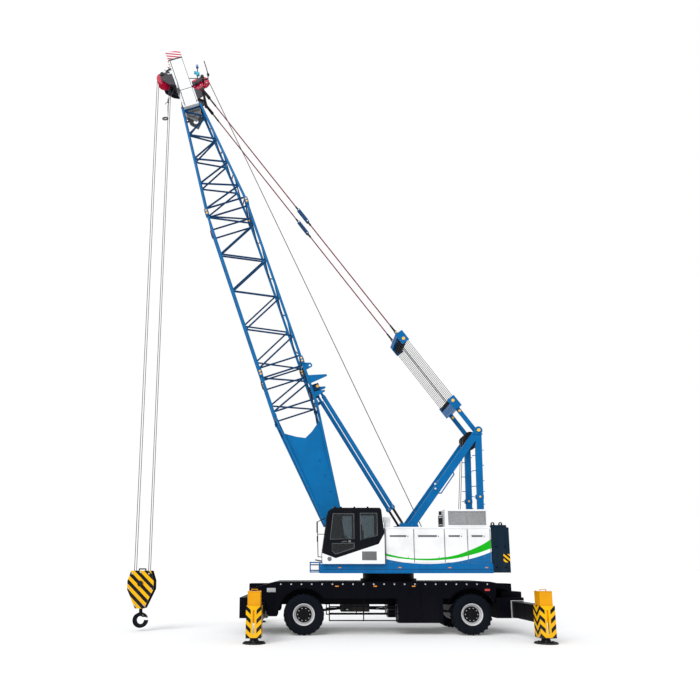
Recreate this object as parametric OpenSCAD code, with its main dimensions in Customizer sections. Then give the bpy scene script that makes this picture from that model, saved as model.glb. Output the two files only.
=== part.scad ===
// Mobile lattice-boom crane on a two-axle carrier, standing on its wheels and four outriggers.
// The boom points towards -X, the cab is on the -Y side, and the ground is Z = 0.

/* [Wheels and axles] */
// Distance between the two axles
wheelbase = 5640; // [5200:20:6000]
// Outside diameter of a tyre
tyre_d = 1370; // [1250:5:1400]
// Width of a tyre
tyre_w = 385; // [330:5:400]
// Outside diameter of a rim
rim_d = 730; // [640:5:780]
// Distance between the centres of the left and right tyres
track = 2620; // [2560:10:2700]
// Distance from a wheel's centre inwards to its kingpin
kingpin_offset = 420; // [380:5:450]
// Diameter of an axle tube
axle_d = 220; // [180:5:240]
// Diameter of a wheel's stub axle
stub_d = 130; // [100:2:150]

/* [Carrier] */
// Height of the carrier's deck
deck_z = 1770; // [1740:10:1850]
// Thickness of the deck structure
deck_t = 170; // [120:5:200]
// Width of the deck
deck_w = 2760; // [2600:10:2860]
// Front end of the flat deck
deck_front = -3750; // [-3900:10:-3600]
// Rear end of the flat deck
deck_rear = 3520; // [3400:10:3600]
// Depth of the side plates below the deck top
side_plate_h = 560; // [400:10:620]
// Radius of the wheel arches
arch_r = 860; // [800:5:880]
// Width of the chassis backbone
backbone_w = 900; // [700:10:1000]
// Underside of the chassis backbone
backbone_z = 960; // [900:10:1000]
// Plate thickness of the carrier
plate_t = 30; // [20:1:40]
// Front face of the side locker
locker_front = 350; // [200:10:500]
// Rear face of the side locker
locker_rear = 1880; // [1700:10:1940]
// Underside of the side locker
locker_z = 400; // [350:10:600]
// Diameter of the side guard's bars
guard_d = 40; // [30:1:50]
// Front post of the side guard
guard_front = -1960; // [-1980:10:-1800]
// Lowest bar of the side guard
guard_z = 480; // [440:10:600]

/* [Outriggers] */
// Position of the front box's inner channel along the carrier
front_channel = -4300; // [-4350:10:-4200]
// Position of the rear box's outer channel along the carrier
rear_channel = 4400; // [4350:10:4500]
// Distance between the two channels of one box
channel_pitch = 460; // [440:5:500]
// Width of an outrigger beam
beam_w = 360; // [300:5:380]
// Height of an outrigger beam
beam_h = 520; // [440:5:540]
// Underside of an outrigger beam
beam_z = 590; // [560:5:620]
// Running clearance of a beam in its channel
beam_gap = 8; // [6:1:14]
// Half length of an outrigger box
box_half = 1300; // [1250:10:1350]
// Distance of an extended leg from the crane's centre line
leg_y = 3450; // [3300:10:3600]
// Length of an outrigger beam from its leg to its inner end
beam_len = 2860; // [2700:10:2880]
// Side of the leg's fixed column
column_w = 380; // [330:5:390]
// Top of the leg's fixed column
column_top = 1520; // [1500:5:1600]
// Underside of the leg's fixed column
column_z = 610; // [600:5:640]
// Running clearance between column and sleeve
sleeve_gap = 6; // [5:1:10]
// Wall of the sliding sleeve
sleeve_wall = 34; // [25:1:40]
// Top of the sliding sleeve when the pad is on the ground
sleeve_top = 1110; // [1050:5:1130]
// Underside of the sliding sleeve when the pad is on the ground
sleeve_z = 170; // [150:5:190]
// Diameter of a ground pad
pad_d = 700; // [600:10:760]
// Thickness of a ground pad's rim
pad_t = 45; // [35:1:60]

/* [Turntable and house] */
// Position of the slewing axis along the carrier
slew_x = 250; // [150:10:350]
// Outside diameter of the slewing ring
slew_d = 1900; // [1700:10:2000]
// Underside of the turntable
turntable_z = 2050; // [2020:5:2100]
// Height of the turntable's side beams
turntable_h = 315; // [280:5:330]
// Front end of the turntable
turntable_front = -2250; // [-2350:10:-2200]
// Rear end of the turntable
turntable_rear = 3630; // [3600:5:3640]
// Width of the turntable
turntable_w = 2800; // [2700:10:2860]
// Front face of the machine house
house_front = -30; // [-50:5:0]
// Rear face of the machine house
house_rear = 3600; // [3580:5:3620]
// Height of the machine house
house_h = 1240; // [1150:10:1260]
// Width of one side of the machine house
house_w = 560; // [520:5:590]
// Thickness of the house doors
house_door_t = 40; // [30:1:50]
// Gap around a door
door_gap = 8; // [6:1:12]
// Height of the air intake housing on the roof
intake_h = 640; // [550:10:660]
// Front face of the air intake housing
intake_front = 2070; // [2040:10:2150]
// Thickness of the counterweight
weight_l = 590; // [500:10:640]
// Width of the counterweight
weight_w = 2760; // [2500:10:2800]
// Top of the counterweight
weight_top = 3700; // [3600:10:3800]

/* [Cab] */
// Outer side of the cab, measured from the centre line
cab_out = 1550; // [1520:5:1580]
// Inner side of the cab, measured from the centre line
cab_in = 660; // [650:5:700]
// Rear face of the cab
cab_rear = -75; // [-90:5:-60]
// Front face of the cab at its foot
cab_front = -2190; // [-2240:10:-2160]
// Height of the cab
cab_h = 1910; // [1850:10:1950]
// Wall of the cab
cab_wall = 60; // [45:1:70]
// Thickness of the window glass
glass_t = 8; // [6:1:12]
// Gap around the glass
glass_gap = 0.3; // [0.2:0.1:2]
// Rear edge of the cab door
door_rear = -1020; // [-1060:10:-980]

/* [Boom] */
// Position of the boom's foot pin along the carrier
foot_x = -1460; // [-1500:10:-1440]
// Height of the boom's foot pin
foot_z = 3020; // [2980:10:3060]
// Angle of the boom above the ground at rest
boom_angle = 71.6; // [70:0.1:73]
// Diameter of the foot pins
foot_pin_d = 110; // [90:2:130]
// Overall half width of the boom's foot
foot_half_w = 600; // [560:5:620]
// Length of the base section
base_len = 7000; // [6800:20:7100]
// Length of the middle section
insert_len = 6880; // [6600:20:7000]
// Length of the top section
top_len = 5130; // [5000:10:5300]
// Depth of the sections between chord centres
boom_depth = 1620; // [1560:10:1680]
// Width of the sections between chord centres
boom_w = 1400; // [1340:10:1460]
// Depth of the top section's narrow end between chord centres
head_depth = 760; // [720:10:820]
// Width of the top section's narrow end between chord centres
head_w = 560; // [520:10:600]
// Diameter of a chord
chord_d = 100; // [80:2:120]
// Diameter of a lacing tube
lace_d = 68; // [50:1:80]
// Diameter of a light lacing tube
lace_thin_d = 50; // [40:1:60]
// Length of the boom's head above the top section
head_len = 2800; // [2700:10:2900]
// Depth of the head's box
head_box = 600; // [560:10:640]
// Height of the main sheaves' axle above the top section
sheave_up = 1760; // [1700:10:1800]
// Distance from the boom's middle line to the main sheaves' axle
sheave_out = 730; // [700:10:760]
// Height of the lower guide sheave above the top section
guide_up = 1060; // [1000:10:1100]
// Height of the pendants' pin above the top section
pendant_up = 470; // [440:10:500]
// Distance from the boom's middle line to the pendants' pin
pendant_out = 650; // [620:10:680]
// Diameter of the main head sheaves
sheave_d = 560; // [500:5:600]
// Diameter of the two guide sheaves behind the head
guide_d = 500; // [460:5:520]
// Number of main head sheaves
sheave_count = 4; // [3:1:5]

/* [Gantry and luffing gear] */
// Position of the gantry's apex pin along the carrier
apex_x = 3560; // [3500:10:3600]
// Height of the gantry's apex pin
apex_z = 7210; // [7100:10:7300]
// Distance from the centre line to a gantry leg's middle
gantry_y = 690; // [670:5:720]
// Position of the front legs' foot pins
gantry_foot_x = 1030; // [980:10:1080]
// Height of the front legs' foot pins
gantry_foot_z = 3750; // [3700:10:3800]
// Diameter of the front legs' foot pins
gantry_pin_d = 80; // [60:2:100]
// Depth of a front leg
leg_front_w = 260; // [220:5:280]
// Depth of a rear leg
leg_rear_w = 220; // [180:5:240]
// Thickness of a gantry leg
gantry_t = 120; // [90:2:140]
// Length of the links between the apex pin and the luffing block
link_len = 1120; // [1050:10:1200]
// Length of the luffing block along the ropes
block_len = 480; // [430:5:520]
// Width of the luffing block and of the bail
block_w = 1240; // [1150:10:1280]
// Depth of the luffing block and of the bail
block_depth = 320; // [280:5:360]
// Distance from the apex pin to the bail
bail_dist = 4300; // [4100:10:4500]
// Distance from the centre line to a pendant
pendant_y = 390; // [380:2:420]
// Diameter of a pendant
pendant_d = 44; // [36:1:52]

/* [Backstops] */
// Distance from the centre line to a backstop
backstop_y = 470; // [450:5:490]
// Position of the backstops' foot pins
backstop_foot_x = 800; // [760:10:860]
// Height of the backstops' foot pins
backstop_foot_z = 3720; // [3680:10:3780]
// Diameter of the backstops' foot pins
backstop_pin_d = 70; // [50:2:80]
// Distance from the upper pivots to the top of the base section
backstop_drop = 1100; // [1000:10:1200]
// Diameter of a backstop's tube
backstop_tube_d = 150; // [120:2:170]
// Length of a backstop's rod that shows below its tube
backstop_bare = 730; // [600:10:800]
// Diameter of a backstop's rod
backstop_rod_d = 90; // [70:2:100]

/* [Hook] */
// Height of the hook block's sheave axle
hook_axle_z = 1680; // [1600:10:2000]
// Width of the hook block along the carrier
hook_block_w = 940; // [860:10:1000]
// Height of the hook block
hook_block_h = 1400; // [1250:10:1450]
// Thickness of the hook block across the carrier
hook_block_t = 420; // [360:5:460]
// Height of the hook below its block
hook_drop = 690; // [640:5:720]
// Diameter of the hoist rope
rope_d = 24; // [18:1:30]

/* [Hidden] */
$fn = 48;
eps = 0.02;
near = -1;
far = 1;

wheel_z = tyre_d / 2;
axle_front = -wheelbase / 2;
axle_rear = wheelbase / 2;
wheel_y = track / 2;
kingpin_y = wheel_y - kingpin_offset;
house_z = turntable_z + turntable_h;
house_top = house_z + house_h;
house_out = turntable_w / 2;
rear_inner_channel = rear_channel - channel_pitch;
front_outer_channel = front_channel - channel_pitch;
channel_w = beam_w + 2 * beam_gap;
channel_h = beam_h + 2 * beam_gap;
box_wall = (channel_pitch - channel_w) / 2;
sleeve_in = column_w + 2 * sleeve_gap;
sleeve_w = sleeve_in + 2 * sleeve_wall;

// Direction along the boom and square to it, towards the rear
boom_dir = [-cos(boom_angle), sin(boom_angle)];
boom_nrm = [sin(boom_angle), cos(boom_angle)];
function boom_x(s, t) = foot_x + s * boom_dir[0] + t * boom_nrm[0];
function boom_z(s, t) = foot_z + s * boom_dir[1] + t * boom_nrm[1];
insert_s = base_len;
top_s = base_len + insert_len;
head_s = top_s + top_len;
sheave_s = head_s + sheave_up;
sheave_t = -sheave_out;
guide_s = head_s + guide_up;
guide_centres = [[guide_s, 520, -100], [guide_s + 210, 830, 100]];
groove = 36;
fall_ys = [for (i = [0:sheave_count - 1]) (i - (sheave_count - 1) / 2) * 330 / sheave_count];
sheave_x = boom_x(sheave_s, sheave_t);
sheave_z = boom_z(sheave_s, sheave_t);
pendant_s = head_s + pendant_up;
pendant_t = pendant_out;
pendant_x = boom_x(pendant_s, pendant_t);
pendant_z = boom_z(pendant_s, pendant_t);
luff_len = norm([pendant_x - apex_x, pendant_z - apex_z]);
luff_dir = [(pendant_x - apex_x) / luff_len, (pendant_z - apex_z) / luff_len];
luff_tilt = -atan2(-luff_dir[0], luff_dir[1]);
backstop_s = base_len - backstop_drop;
backstop_t = boom_depth / 2 + 250;
backstop_x = boom_x(backstop_s, backstop_t);
backstop_z = boom_z(backstop_s, backstop_t);
backstop_len = norm([backstop_x - backstop_foot_x, backstop_z - backstop_foot_z]);
backstop_tilt = -atan2(backstop_foot_x - backstop_x, backstop_z - backstop_foot_z);
hook_top = hook_axle_z + 520;
hook_bottom_z = hook_top - hook_block_h;

// The origin is the middle of the crane's footprint
leg_edge = rear_channel + pad_d / 2;
hook_edge = sheave_x - hook_block_w / 2;
shift_x = -(leg_edge + hook_edge) / 2;

// A rod between two points
module rod(p, q, d, fn = 24) {
    v = q - p;
    translate(p)
        rotate([0, acos(v[2] / norm(v)), atan2(v[1], v[0])])
            rotate([0, 0, 45])
                cylinder(d = d, h = norm(v), $fn = fn);
}

// A block given by its low and high corners
module block(p, q) {
    translate(p) cube(q - p);
}

// An outline in the X-Z plane made solid between two Y values
module slab(y0, y1) {
    translate([0, y1, 0]) rotate([90, 0, 0]) linear_extrude(y1 - y0) children();
}

// A cylinder along Y between two Y values
module pin_y(x, z, d, y0, y1) {
    translate([x, y1, z]) rotate([90, 0, 0]) cylinder(d = d, h = y1 - y0);
}

// Places things in the boom's own frame: X along the boom, Z square to it towards the rear
module on_boom() {
    translate([foot_x, 0, foot_z]) rotate([0, -(180 - boom_angle), 0]) mirror([0, 0, 1]) children();
}

module on_luff_line(dist) {
    translate([apex_x, 0, apex_z]) rotate([0, luff_tilt, 0]) translate([0, 0, dist]) children();
}

module on_backstop(side) {
    translate([backstop_foot_x, side * backstop_y, backstop_foot_z]) rotate([0, backstop_tilt, 0]) children();
}

// Carrier

module carrier_outline() {
    polygon([
        [deck_front - 900, deck_z - 220], [deck_front, deck_z], [deck_rear, deck_z],
        [deck_rear + 690, deck_z - 140], [deck_rear + 690, deck_z - 140 - deck_t],
        [deck_rear, deck_z - deck_t], [deck_front, deck_z - deck_t], [deck_front - 900, deck_z - 220 - deck_t]
    ]);
}

module outrigger_box(x_in, dir) {
    // x_in is the channel on the near side, dir the way to the other channel
    x_mid = x_in + dir * channel_pitch / 2;
    half = channel_pitch + 10;
    z0 = beam_z - beam_gap - plate_t;
    z1 = beam_z + beam_h + beam_gap + plate_t;
    difference() {
        block([x_mid - half, -box_half, z0], [x_mid + half, box_half, z1 + 90]);
        translate([x_in - channel_w / 2, -box_half - 1, z0 + plate_t])
            cube([channel_w, 2 * box_half + 1 - plate_t, channel_h]);
        translate([x_in + dir * channel_pitch - channel_w / 2, -box_half + plate_t, z0 + plate_t])
            cube([channel_w, 2 * box_half + 1 - plate_t, channel_h]);
    }
}

module side_plate(side) {
    y_out = side * deck_w / 2;
    y_in = side * (deck_w / 2 - plate_t);
    slab(min(y_in, y_out), max(y_in, y_out)) difference() {
        polygon([
            [deck_front - 520, deck_z - 600], [deck_front - 260, deck_z - 1150], [deck_front + 20, deck_z - 1150],
            [deck_front + 300, deck_z - 700],
            [deck_front + 500, deck_z - side_plate_h], [deck_rear - 260, deck_z - side_plate_h],
            [deck_rear + 120, deck_z - 640], [deck_rear + 200, deck_z - 90],
            [deck_rear, deck_z - 20], [deck_front, deck_z - 20], [deck_front - 520, deck_z - 160]
        ]);
        translate([axle_front, wheel_z]) circle(r = arch_r, $fn = 64);
        translate([axle_rear, wheel_z]) circle(r = arch_r, $fn = 64);
    }
}

module carrier_frame() {
    color([0.05, 0.05, 0.08]) difference() {
        union() {
            slab(-deck_w / 2, deck_w / 2) carrier_outline();
            block([front_outer_channel, -backbone_w / 2, backbone_z], [rear_channel + 150, backbone_w / 2, deck_z - deck_t / 2]);
            outrigger_box(front_channel, -1);
            outrigger_box(rear_channel, -1);
            block([deck_rear + 500, -900, 1200], [deck_rear + 1200, 900, 1420]);
            for (side = [near, far]) {
                side_plate(side);
                y0 = side < 0 ? -deck_w / 2 : deck_w / 2 - 500;
                block([locker_front, y0, locker_z], [locker_rear, y0 + 500, deck_z - deck_t / 2]);
            }
        }
        // room for the wheels under the deck
        for (x = [axle_front, axle_rear], side = [near, far])
            pin_y(x, wheel_z, 2 * arch_r - 100, side < 0 ? -deck_w : 780, side < 0 ? -780 : deck_w);
        for (x = [front_channel, rear_channel])
            translate([x - channel_w / 2, -box_half - 200, beam_z - beam_gap]) cube([channel_w, 2 * box_half + 200 - plate_t, channel_h]);
        for (x = [front_outer_channel, rear_inner_channel])
            translate([x - channel_w / 2, -box_half + plate_t, beam_z - beam_gap]) cube([channel_w, 2 * box_half + 200 - plate_t, channel_h]);
    }
    color([0.05, 0.05, 0.08]) {
        for (x = [front_channel, rear_channel]) wear_pad(x, near);
        for (x = [front_outer_channel, rear_inner_channel]) wear_pad(x, far);
    }
}

// Wear pad that a beam rests on at the mouth of its channel
module wear_pad(x, side) {
    y = side * box_half;
    block([x - beam_w / 2, min(y, y - side * 120), beam_z - beam_gap - 1], [x + beam_w / 2, max(y, y - side * 120), beam_z - 0.3]);
}

module side_guards() {
    color([0.12, 0.12, 0.14]) for (side = [near, far]) {
        y = side * (deck_w / 2 - guard_d);
        posts = [guard_front, (guard_front + locker_front) / 2, locker_front - guard_d];
        union() {
            for (x = posts) rod([x, y, guard_z - guard_d / 2], [x, y, deck_z - side_plate_h - 0.3], guard_d, 12);
            for (z = [guard_z, guard_z + 240, guard_z + 460])
                rod([guard_front, y, z], [locker_front - 0.3, y, z], guard_d, 12);
        }
    }
}

module driveline() {
    color([0.15, 0.05, 0.06]) {
        block([-1500, -420, 700], [-500, 420, backbone_z - 0.3]);
        rod([axle_front + 250, 0, wheel_z], [-1500, 0, 800], 90);
        rod([-500, 0, 800], [axle_rear - 250, 0, wheel_z], 90);
    }
}

module axle_body(x, reach) {
    pin_y(x, wheel_z, axle_d, -reach, reach);
    translate([x, 0, wheel_z]) sphere(d = 480, $fn = 32);
    for (side = [near, far])
        block([x - 60, side * 360 - 60, wheel_z + axle_d / 2 - 30], [x + 60, side * 360 + 60, backbone_z - 0.3]);
}

module front_axle() {
    color([0.06, 0.06, 0.07]) union() {
        axle_body(axle_front, kingpin_y - 110);
        for (side = [near, far]) {
            for (z = [wheel_z + 130, wheel_z - 190]) {
                translate([axle_front, side * kingpin_y, z]) cylinder(d = 170, h = 60);
                block([axle_front - 70, side * (kingpin_y - 80) - 80, z], [axle_front + 70, side * (kingpin_y - 80) + 80, z + 60]);
            }
            block([axle_front - 70, side * (kingpin_y - 140) - 30, wheel_z - 190],
                  [axle_front + 70, side * (kingpin_y - 140) + 30, wheel_z + 190]);
            translate([axle_front, side * kingpin_y, wheel_z - 160]) cylinder(d = 60, h = 320);
        }
    }
}

module rear_axle() {
    color([0.06, 0.06, 0.07]) {
        axle_body(axle_rear, wheel_y - tyre_w / 2 + 20);
        pin_y(axle_rear, wheel_z, stub_d, -(wheel_y + 40.7), wheel_y + 40.7);
    }
}

module knuckle(side) {
    y = side * kingpin_y;
    difference() {
        union() {
            translate([axle_front, y, wheel_z - 125]) cylinder(d = 150, h = 250);
            pin_y(axle_front, wheel_z, stub_d, min(y, side * (wheel_y + 40.7)), max(y, side * (wheel_y + 40.7)));
        }
        translate([axle_front, y, wheel_z - 130]) cylinder(d = 60.1, h = 260);
    }
}

module knuckle_near() { color([0.06, 0.06, 0.07]) knuckle(near); }
module knuckle_far() { color([0.06, 0.06, 0.07]) knuckle(far); }

module at_wheel(x, side) {
    translate([x, side * wheel_y, wheel_z]) rotate([side * 90, 0, 0]) children();
}

// The tyre is a revolved section with rounded shoulders, its axis along Z and its outer side down
module tyre_shape() {
    r = tyre_d / 2;
    w = tyre_w / 2;
    rotate_extrude($fn = 64) polygon([
        [rim_d / 2 + 0.3, -w * 0.72], [rim_d / 2 + 0.3, w * 0.72], [rim_d / 2 + 60, w], [r - 110, w],
        [r - 30, w * 0.93], [r, w * 0.78], [r, -w * 0.78], [r - 30, -w * 0.93], [r - 110, -w], [rim_d / 2 + 60, -w]
    ]);
}

module rim_shape() {
    r = rim_d / 2;
    w = tyre_w / 2;
    rotate_extrude($fn = 64) polygon([
        [stub_d / 2 + 0.3, -60], [stub_d / 2 + 0.3, 60], [140, 60], [140, 20], [r - 60, 20], [r - 60, w * 0.72],
        [r, w * 0.78], [r, -w * 0.78], [r - 30, -w * 0.72], [r - 60, -20], [250, -70], [150, -70], [130, -60]
    ]);
    translate([0, 0, -150]) cylinder(d = 230, h = 109);
}

module beam(x, side) {
    y_leg = side * leg_y;
    y_in = side * (leg_y - beam_len);
    union() {
        block([x - beam_w / 2, min(y_in, y_leg), beam_z], [x + beam_w / 2, max(y_in, y_leg), beam_z + beam_h]);
        block([x - column_w / 2, y_leg - column_w / 2, column_z], [x + column_w / 2, y_leg + column_w / 2, column_top]);
    }
}

module jack(x, side) {
    y = side * leg_y;
    open_y = side < 0 ? y + sleeve_in / 2 - 1 : y - sleeve_w / 2 - 1;
    union() {
        difference() {
            block([x - sleeve_w / 2, y - sleeve_w / 2, sleeve_z], [x + sleeve_w / 2, y + sleeve_w / 2, sleeve_top]);
            block([x - sleeve_in / 2, y - sleeve_in / 2, sleeve_z + 40], [x + sleeve_in / 2, y + sleeve_in / 2, sleeve_top + 1]);
            block([x - channel_w / 2, open_y, sleeve_z + 40], [x + channel_w / 2, open_y + sleeve_wall + 2, sleeve_top + 1]);
            translate([x - 26, y + (side < 0 ? -sleeve_w / 2 - 1 : sleeve_in / 2 - 1), sleeve_z + 130])
                cube([52, sleeve_wall + 2, sleeve_top - sleeve_z - 260]);
        }
        // wear pads that guide the column
        for (side_x = [near, far]) {
            outer = side_x * (sleeve_in / 2 + 1);
            inner = side_x * (column_w / 2 + 0.3);
            block([x + min(outer, inner), y - 60, sleeve_top - 160], [x + max(outer, inner), y + 60, sleeve_top - 40]);
        }
        translate([x, y, pad_t]) cylinder(d1 = 300, d2 = 220, h = sleeve_z - pad_t + eps);
        translate([x, y, 0]) cylinder(d1 = pad_d, d2 = pad_d - 60, h = pad_t);
    }
}

// Upper structure

module slew_ring() {
    color([0.10, 0.10, 0.12]) {
        translate([slew_x, 0, deck_z]) cylinder(d = slew_d + 120, h = 90, $fn = 64);
        translate([slew_x, 0, deck_z + 90]) cylinder(d = slew_d - 60, h = turntable_z - deck_z - 90 - 0.3, $fn = 64);
    }
}

module a_frame_plate(side) {
    y = side * gantry_y;
    slab(y - gantry_t / 2 - 34, y - gantry_t / 2 - 4) a_frame_outline();
    slab(y + gantry_t / 2 + 4, y + gantry_t / 2 + 34) a_frame_outline();
}

module a_frame_outline() {
    difference() {
        a_frame_blank();
        translate([gantry_foot_x, gantry_foot_z]) circle(d = gantry_pin_d + 0.6);
    }
}

module a_frame_blank() {
    polygon([
        [gantry_foot_x - 700, house_z - 1], [gantry_foot_x + 700, house_z - 1],
        [gantry_foot_x + 190, gantry_foot_z + 60], [gantry_foot_x - 420, gantry_foot_z + 60]
    ]);
}

module turntable() {
    color([0.0, 0.45, 0.75]) union() {
        difference() {
            block([turntable_front, -turntable_w / 2, turntable_z], [turntable_rear, turntable_w / 2, house_z]);
            block([turntable_front - 1, -520, turntable_z + 60], [foot_x - 500, 520, house_z + 1]);
        }
        // brackets that carry the boom's foot pins
        for (side = [near, far]) {
            y = side * (foot_half_w - 145);
            difference() {
                slab(y - 50, y + 50) polygon([
                    [foot_x - 420, house_z - 1], [foot_x + 620, house_z - 1],
                    [foot_x + 150, foot_z + 130], [foot_x - 150, foot_z + 130]
                ]);
                pin_y(foot_x, foot_z, foot_pin_d + 0.1, -foot_half_w, foot_half_w);
            }
        }
        for (side = [near, far]) a_frame_plate(side);
        for (y = [[-600, -380], [380, 600]]) pin_y(backstop_foot_x, backstop_foot_z, backstop_pin_d, y[0], y[1]);
    }
}

module house_side(side) {
    y0 = side < 0 ? -house_out : house_out - house_w;
    difference() {
        block([house_front, y0, house_z], [house_rear, y0 + house_w, house_top]);
        if (side < 0) for (i = [0:3])
            block([door_edges[i] + door_post, y0 - 1, house_z + 40],
                  [door_edges[i + 1] - door_post, y0 + house_door_t + door_gap, house_top - 40]);
        if (side < 0) for (i = [0:3], h = [0, 800])
            translate([door_edges[i] + door_post, y0 - 5, house_z + 215.3 + h]) cylinder(d = hinge_d + 12, h = hinge_h + 10);
    }
    if (side < 0) for (i = [0:3]) house_hinges(i, house_z + 160);
}

module house() {
    color([0.96, 0.96, 0.96]) for (side = [near, far]) house_side(side);
}

door_post = 14;
hinge_d = 18;
hinge_h = 60;
door_edges = [house_front + 20, 960, 2010, 2800, house_rear - 20];

// Hinge barrels of one door from height z, at the outer edge of its post
module house_hinges(i, z) {
    for (h = [z, z + 800])
        translate([door_edges[i] + door_post, -house_out - 5, h]) cylinder(d = hinge_d, h = hinge_h);
}

module house_door(i) {
    x0 = door_edges[i] + door_post + door_gap * 0.6;
    x1 = door_edges[i + 1] - door_post - door_gap;
    color([0.96, 0.96, 0.96]) union() {
        difference() {
            block([x0, -house_out, house_z + 40 + door_gap], [x1, -house_out + house_door_t, house_top - 40 - door_gap]);
            translate([x0 + 120, -house_out - 1, house_top - 330]) cube([x1 - x0 - 360, 13, 60]);
            for (z = [0, 800])
                translate([x0 - 1, -house_out - 1, house_z + 150 + z]) cube([9, 20, hinge_h + 20]);
        }
        house_hinges(i, house_z + 160.3 + hinge_h);
    }
}

module house_door_1() { house_door(0); }
module house_door_2() { house_door(1); }
module house_door_3() { house_door(2); }
module house_door_4() { house_door(3); }

module intake() {
    color([0.9, 0.9, 0.9]) difference() {
        block([intake_front, -house_out + 80, house_top + 0.3], [house_rear, -house_out + house_w, house_top + intake_h]);
        block([intake_front + 110, -house_out + 79, house_top + 90], [house_rear - 110, -house_out + 110, house_top + intake_h - 60]);
    }
}

module exhaust() {
    color([0.05, 0.05, 0.05]) union() {
        translate([intake_front - 110, -1100, house_top + 0.3]) cylinder(d = 150, h = 420);
        translate([intake_front - 110, -1100, house_top + 420]) cylinder(d = 100, h = 170);
    }
}

module counterweight() {
    color([0.06, 0.14, 0.20]) difference() {
        union() {
            block([turntable_rear + 0.3, -weight_w / 2, turntable_z + 20], [house_rear + 40 + weight_l, weight_w / 2, weight_top - 90]);
            slab(-weight_w / 2 + 60, weight_w / 2 - 60) polygon([
                [house_rear + 60, weight_top - 91], [house_rear + weight_l, weight_top - 91],
                [house_rear + weight_l - 30, weight_top], [house_rear + 90, weight_top]
            ]);
            for (side = [near, far], x = [150, 420])
                slab(side * 1180 - 20, side * 1180 + 20)
                    translate([house_rear + x, weight_top + 44]) difference() {
                        union() {
                            circle(d = 130);
                            translate([-65, -46]) square([130, 46]);
                        }
                        circle(d = 60);
                    }
        }
        block([turntable_rear, -weight_w / 2 - 1, weight_top - 860], [turntable_rear + 20, weight_w / 2 + 1, weight_top - 850]);
    }
}

module winches() {
    color([0.35, 0.36, 0.38]) {
        for (x = [2050, 2950]) {
            pin_y(x, house_z + 360, 420, -430, 430);
            for (side = [near, far]) {
                pin_y(x, house_z + 360, 640, side * 450 - 20, side * 450 + 20);
                block([x - 60, side * 500 - 30, house_z], [x + 60, side * 500 + 30, house_z + 400]);
            }
        }
    }
}

// Cab

cab_z = house_z + 0.3;
cab_top = cab_z + cab_h;

module cab_outline() {
    polygon([
        [cab_front, cab_z], [cab_rear, cab_z], [cab_rear, cab_z + 1030], [cab_rear - 90, cab_top - 60],
        [cab_rear - 150, cab_top], [cab_front + 380, cab_top], [cab_front + 200, cab_top - 120], [cab_front - 10, cab_z + 370]
    ]);
}

module cab_inner_outline() {
    w = cab_wall;
    polygon([
        [cab_front + w, cab_z + w], [cab_rear - w, cab_z + w], [cab_rear - w, cab_z + 1030], [cab_rear - 90 - w, cab_top - 60 - w],
        [cab_rear - 160 - w, cab_top - w], [cab_front + 400, cab_top - w], [cab_front + 200 + w, cab_top - 120 - w / 2],
        [cab_front - 10 + w, cab_z + 370]
    ]);
}

// White skirt below the slanting line
module skirt_outline() {
    polygon([
        [cab_front - 20, cab_z - 1], [cab_rear + 1, cab_z - 1], [cab_rear + 1, cab_z + 1030], [cab_rear - 200, cab_z + 670],
        [cab_front + 450, cab_z + 190], [cab_front - 20, cab_z + 370]
    ]);
}

module door_outline() {
    polygon([
        [cab_front + 150, cab_z + 400], [cab_front + 450, cab_z + 250], [door_rear, cab_z + 480],
        [door_rear, cab_top - 130], [cab_front + 330, cab_top - 130]
    ]);
}

module door_window_outline() {
    polygon([
        [cab_front + 270, cab_z + 830], [door_rear - 90, cab_z + 850], [door_rear - 90, cab_top - 210], [cab_front + 370, cab_top - 210]
    ]);
}

module door_lower_outline() {
    polygon([
        [cab_front + 330, cab_z + 680], [cab_front + 330, cab_z + 430], [cab_front + 450, cab_z + 330], [door_rear - 90, cab_z + 530], [door_rear - 90, cab_z + 700]
    ]);
}

module rear_side_window_outline() {
    polygon([
        [door_rear + 130, cab_z + 800], [cab_rear - 240, cab_z + 960], [cab_rear - 240, cab_top - 190], [door_rear + 130, cab_top - 190]
    ]);
}

module grown(outline_gap) {
    offset(delta = outline_gap) children();
}

module cab_shell() {
    y0 = -cab_out;
    y1 = -cab_in;
    color([0.18, 0.20, 0.23]) door_barrels(600.3 + hinge_h, hinge_d, hinge_h);
    color([0.18, 0.20, 0.23]) difference() {
        slab(y0, y1) cab_outline();
        slab(y0 + cab_wall, y1 - cab_wall) cab_inner_outline();
        slab(y0 - 1, y0 + cab_wall + 0.3) skirt_outline();
        slab(y0 - 1, y0 + cab_wall + 1) grown(door_gap) door_outline();
        slab(y0 - 1, y0 + cab_wall + 1) rear_side_window_outline();
        door_barrels(595, hinge_d + 12, hinge_h + 10);
        slab(y1 - cab_wall - 1, y1 + 1) rear_side_window_outline();
        slab(y1 - cab_wall - 1, y1 + 1) door_window_outline();
        // windscreen and rear window
        block([cab_front - 50, y0 + 110, cab_z + 430], [cab_front + 300, y1 - 110, cab_top - 220]);
        block([cab_rear - 260, y0 + 110, cab_z + 1090], [cab_rear + 50, y1 - 110, cab_top - 190]);
    }
}

module cab_skirt() {
    color([0.96, 0.96, 0.96]) slab(-cab_out, -cab_out + cab_wall) intersection() {
        skirt_outline();
        cab_outline();
    }
}

// Section of a pane that leans with its wall, from height z0 to z1 over the cab's floor
module slanted_pane(x, slope, z_from, z0, z1) {
    a = z0 + glass_gap;
    b = z1 - glass_gap;
    xa = x + slope * (a - z_from);
    xb = x + slope * (b - z_from);
    polygon([[xa, cab_z + a], [xa + glass_t, cab_z + a], [xb + glass_t, cab_z + b], [xb, cab_z + b]]);
}

// Barrels of the cab door's hinge, from height z over the cab's floor
module door_barrels(z, d, h) {
    for (z0 = [z, z + 950])
        translate([door_rear + door_gap / 2, -cab_out - 5, cab_z + z0]) cylinder(d = d, h = h);
}

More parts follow.
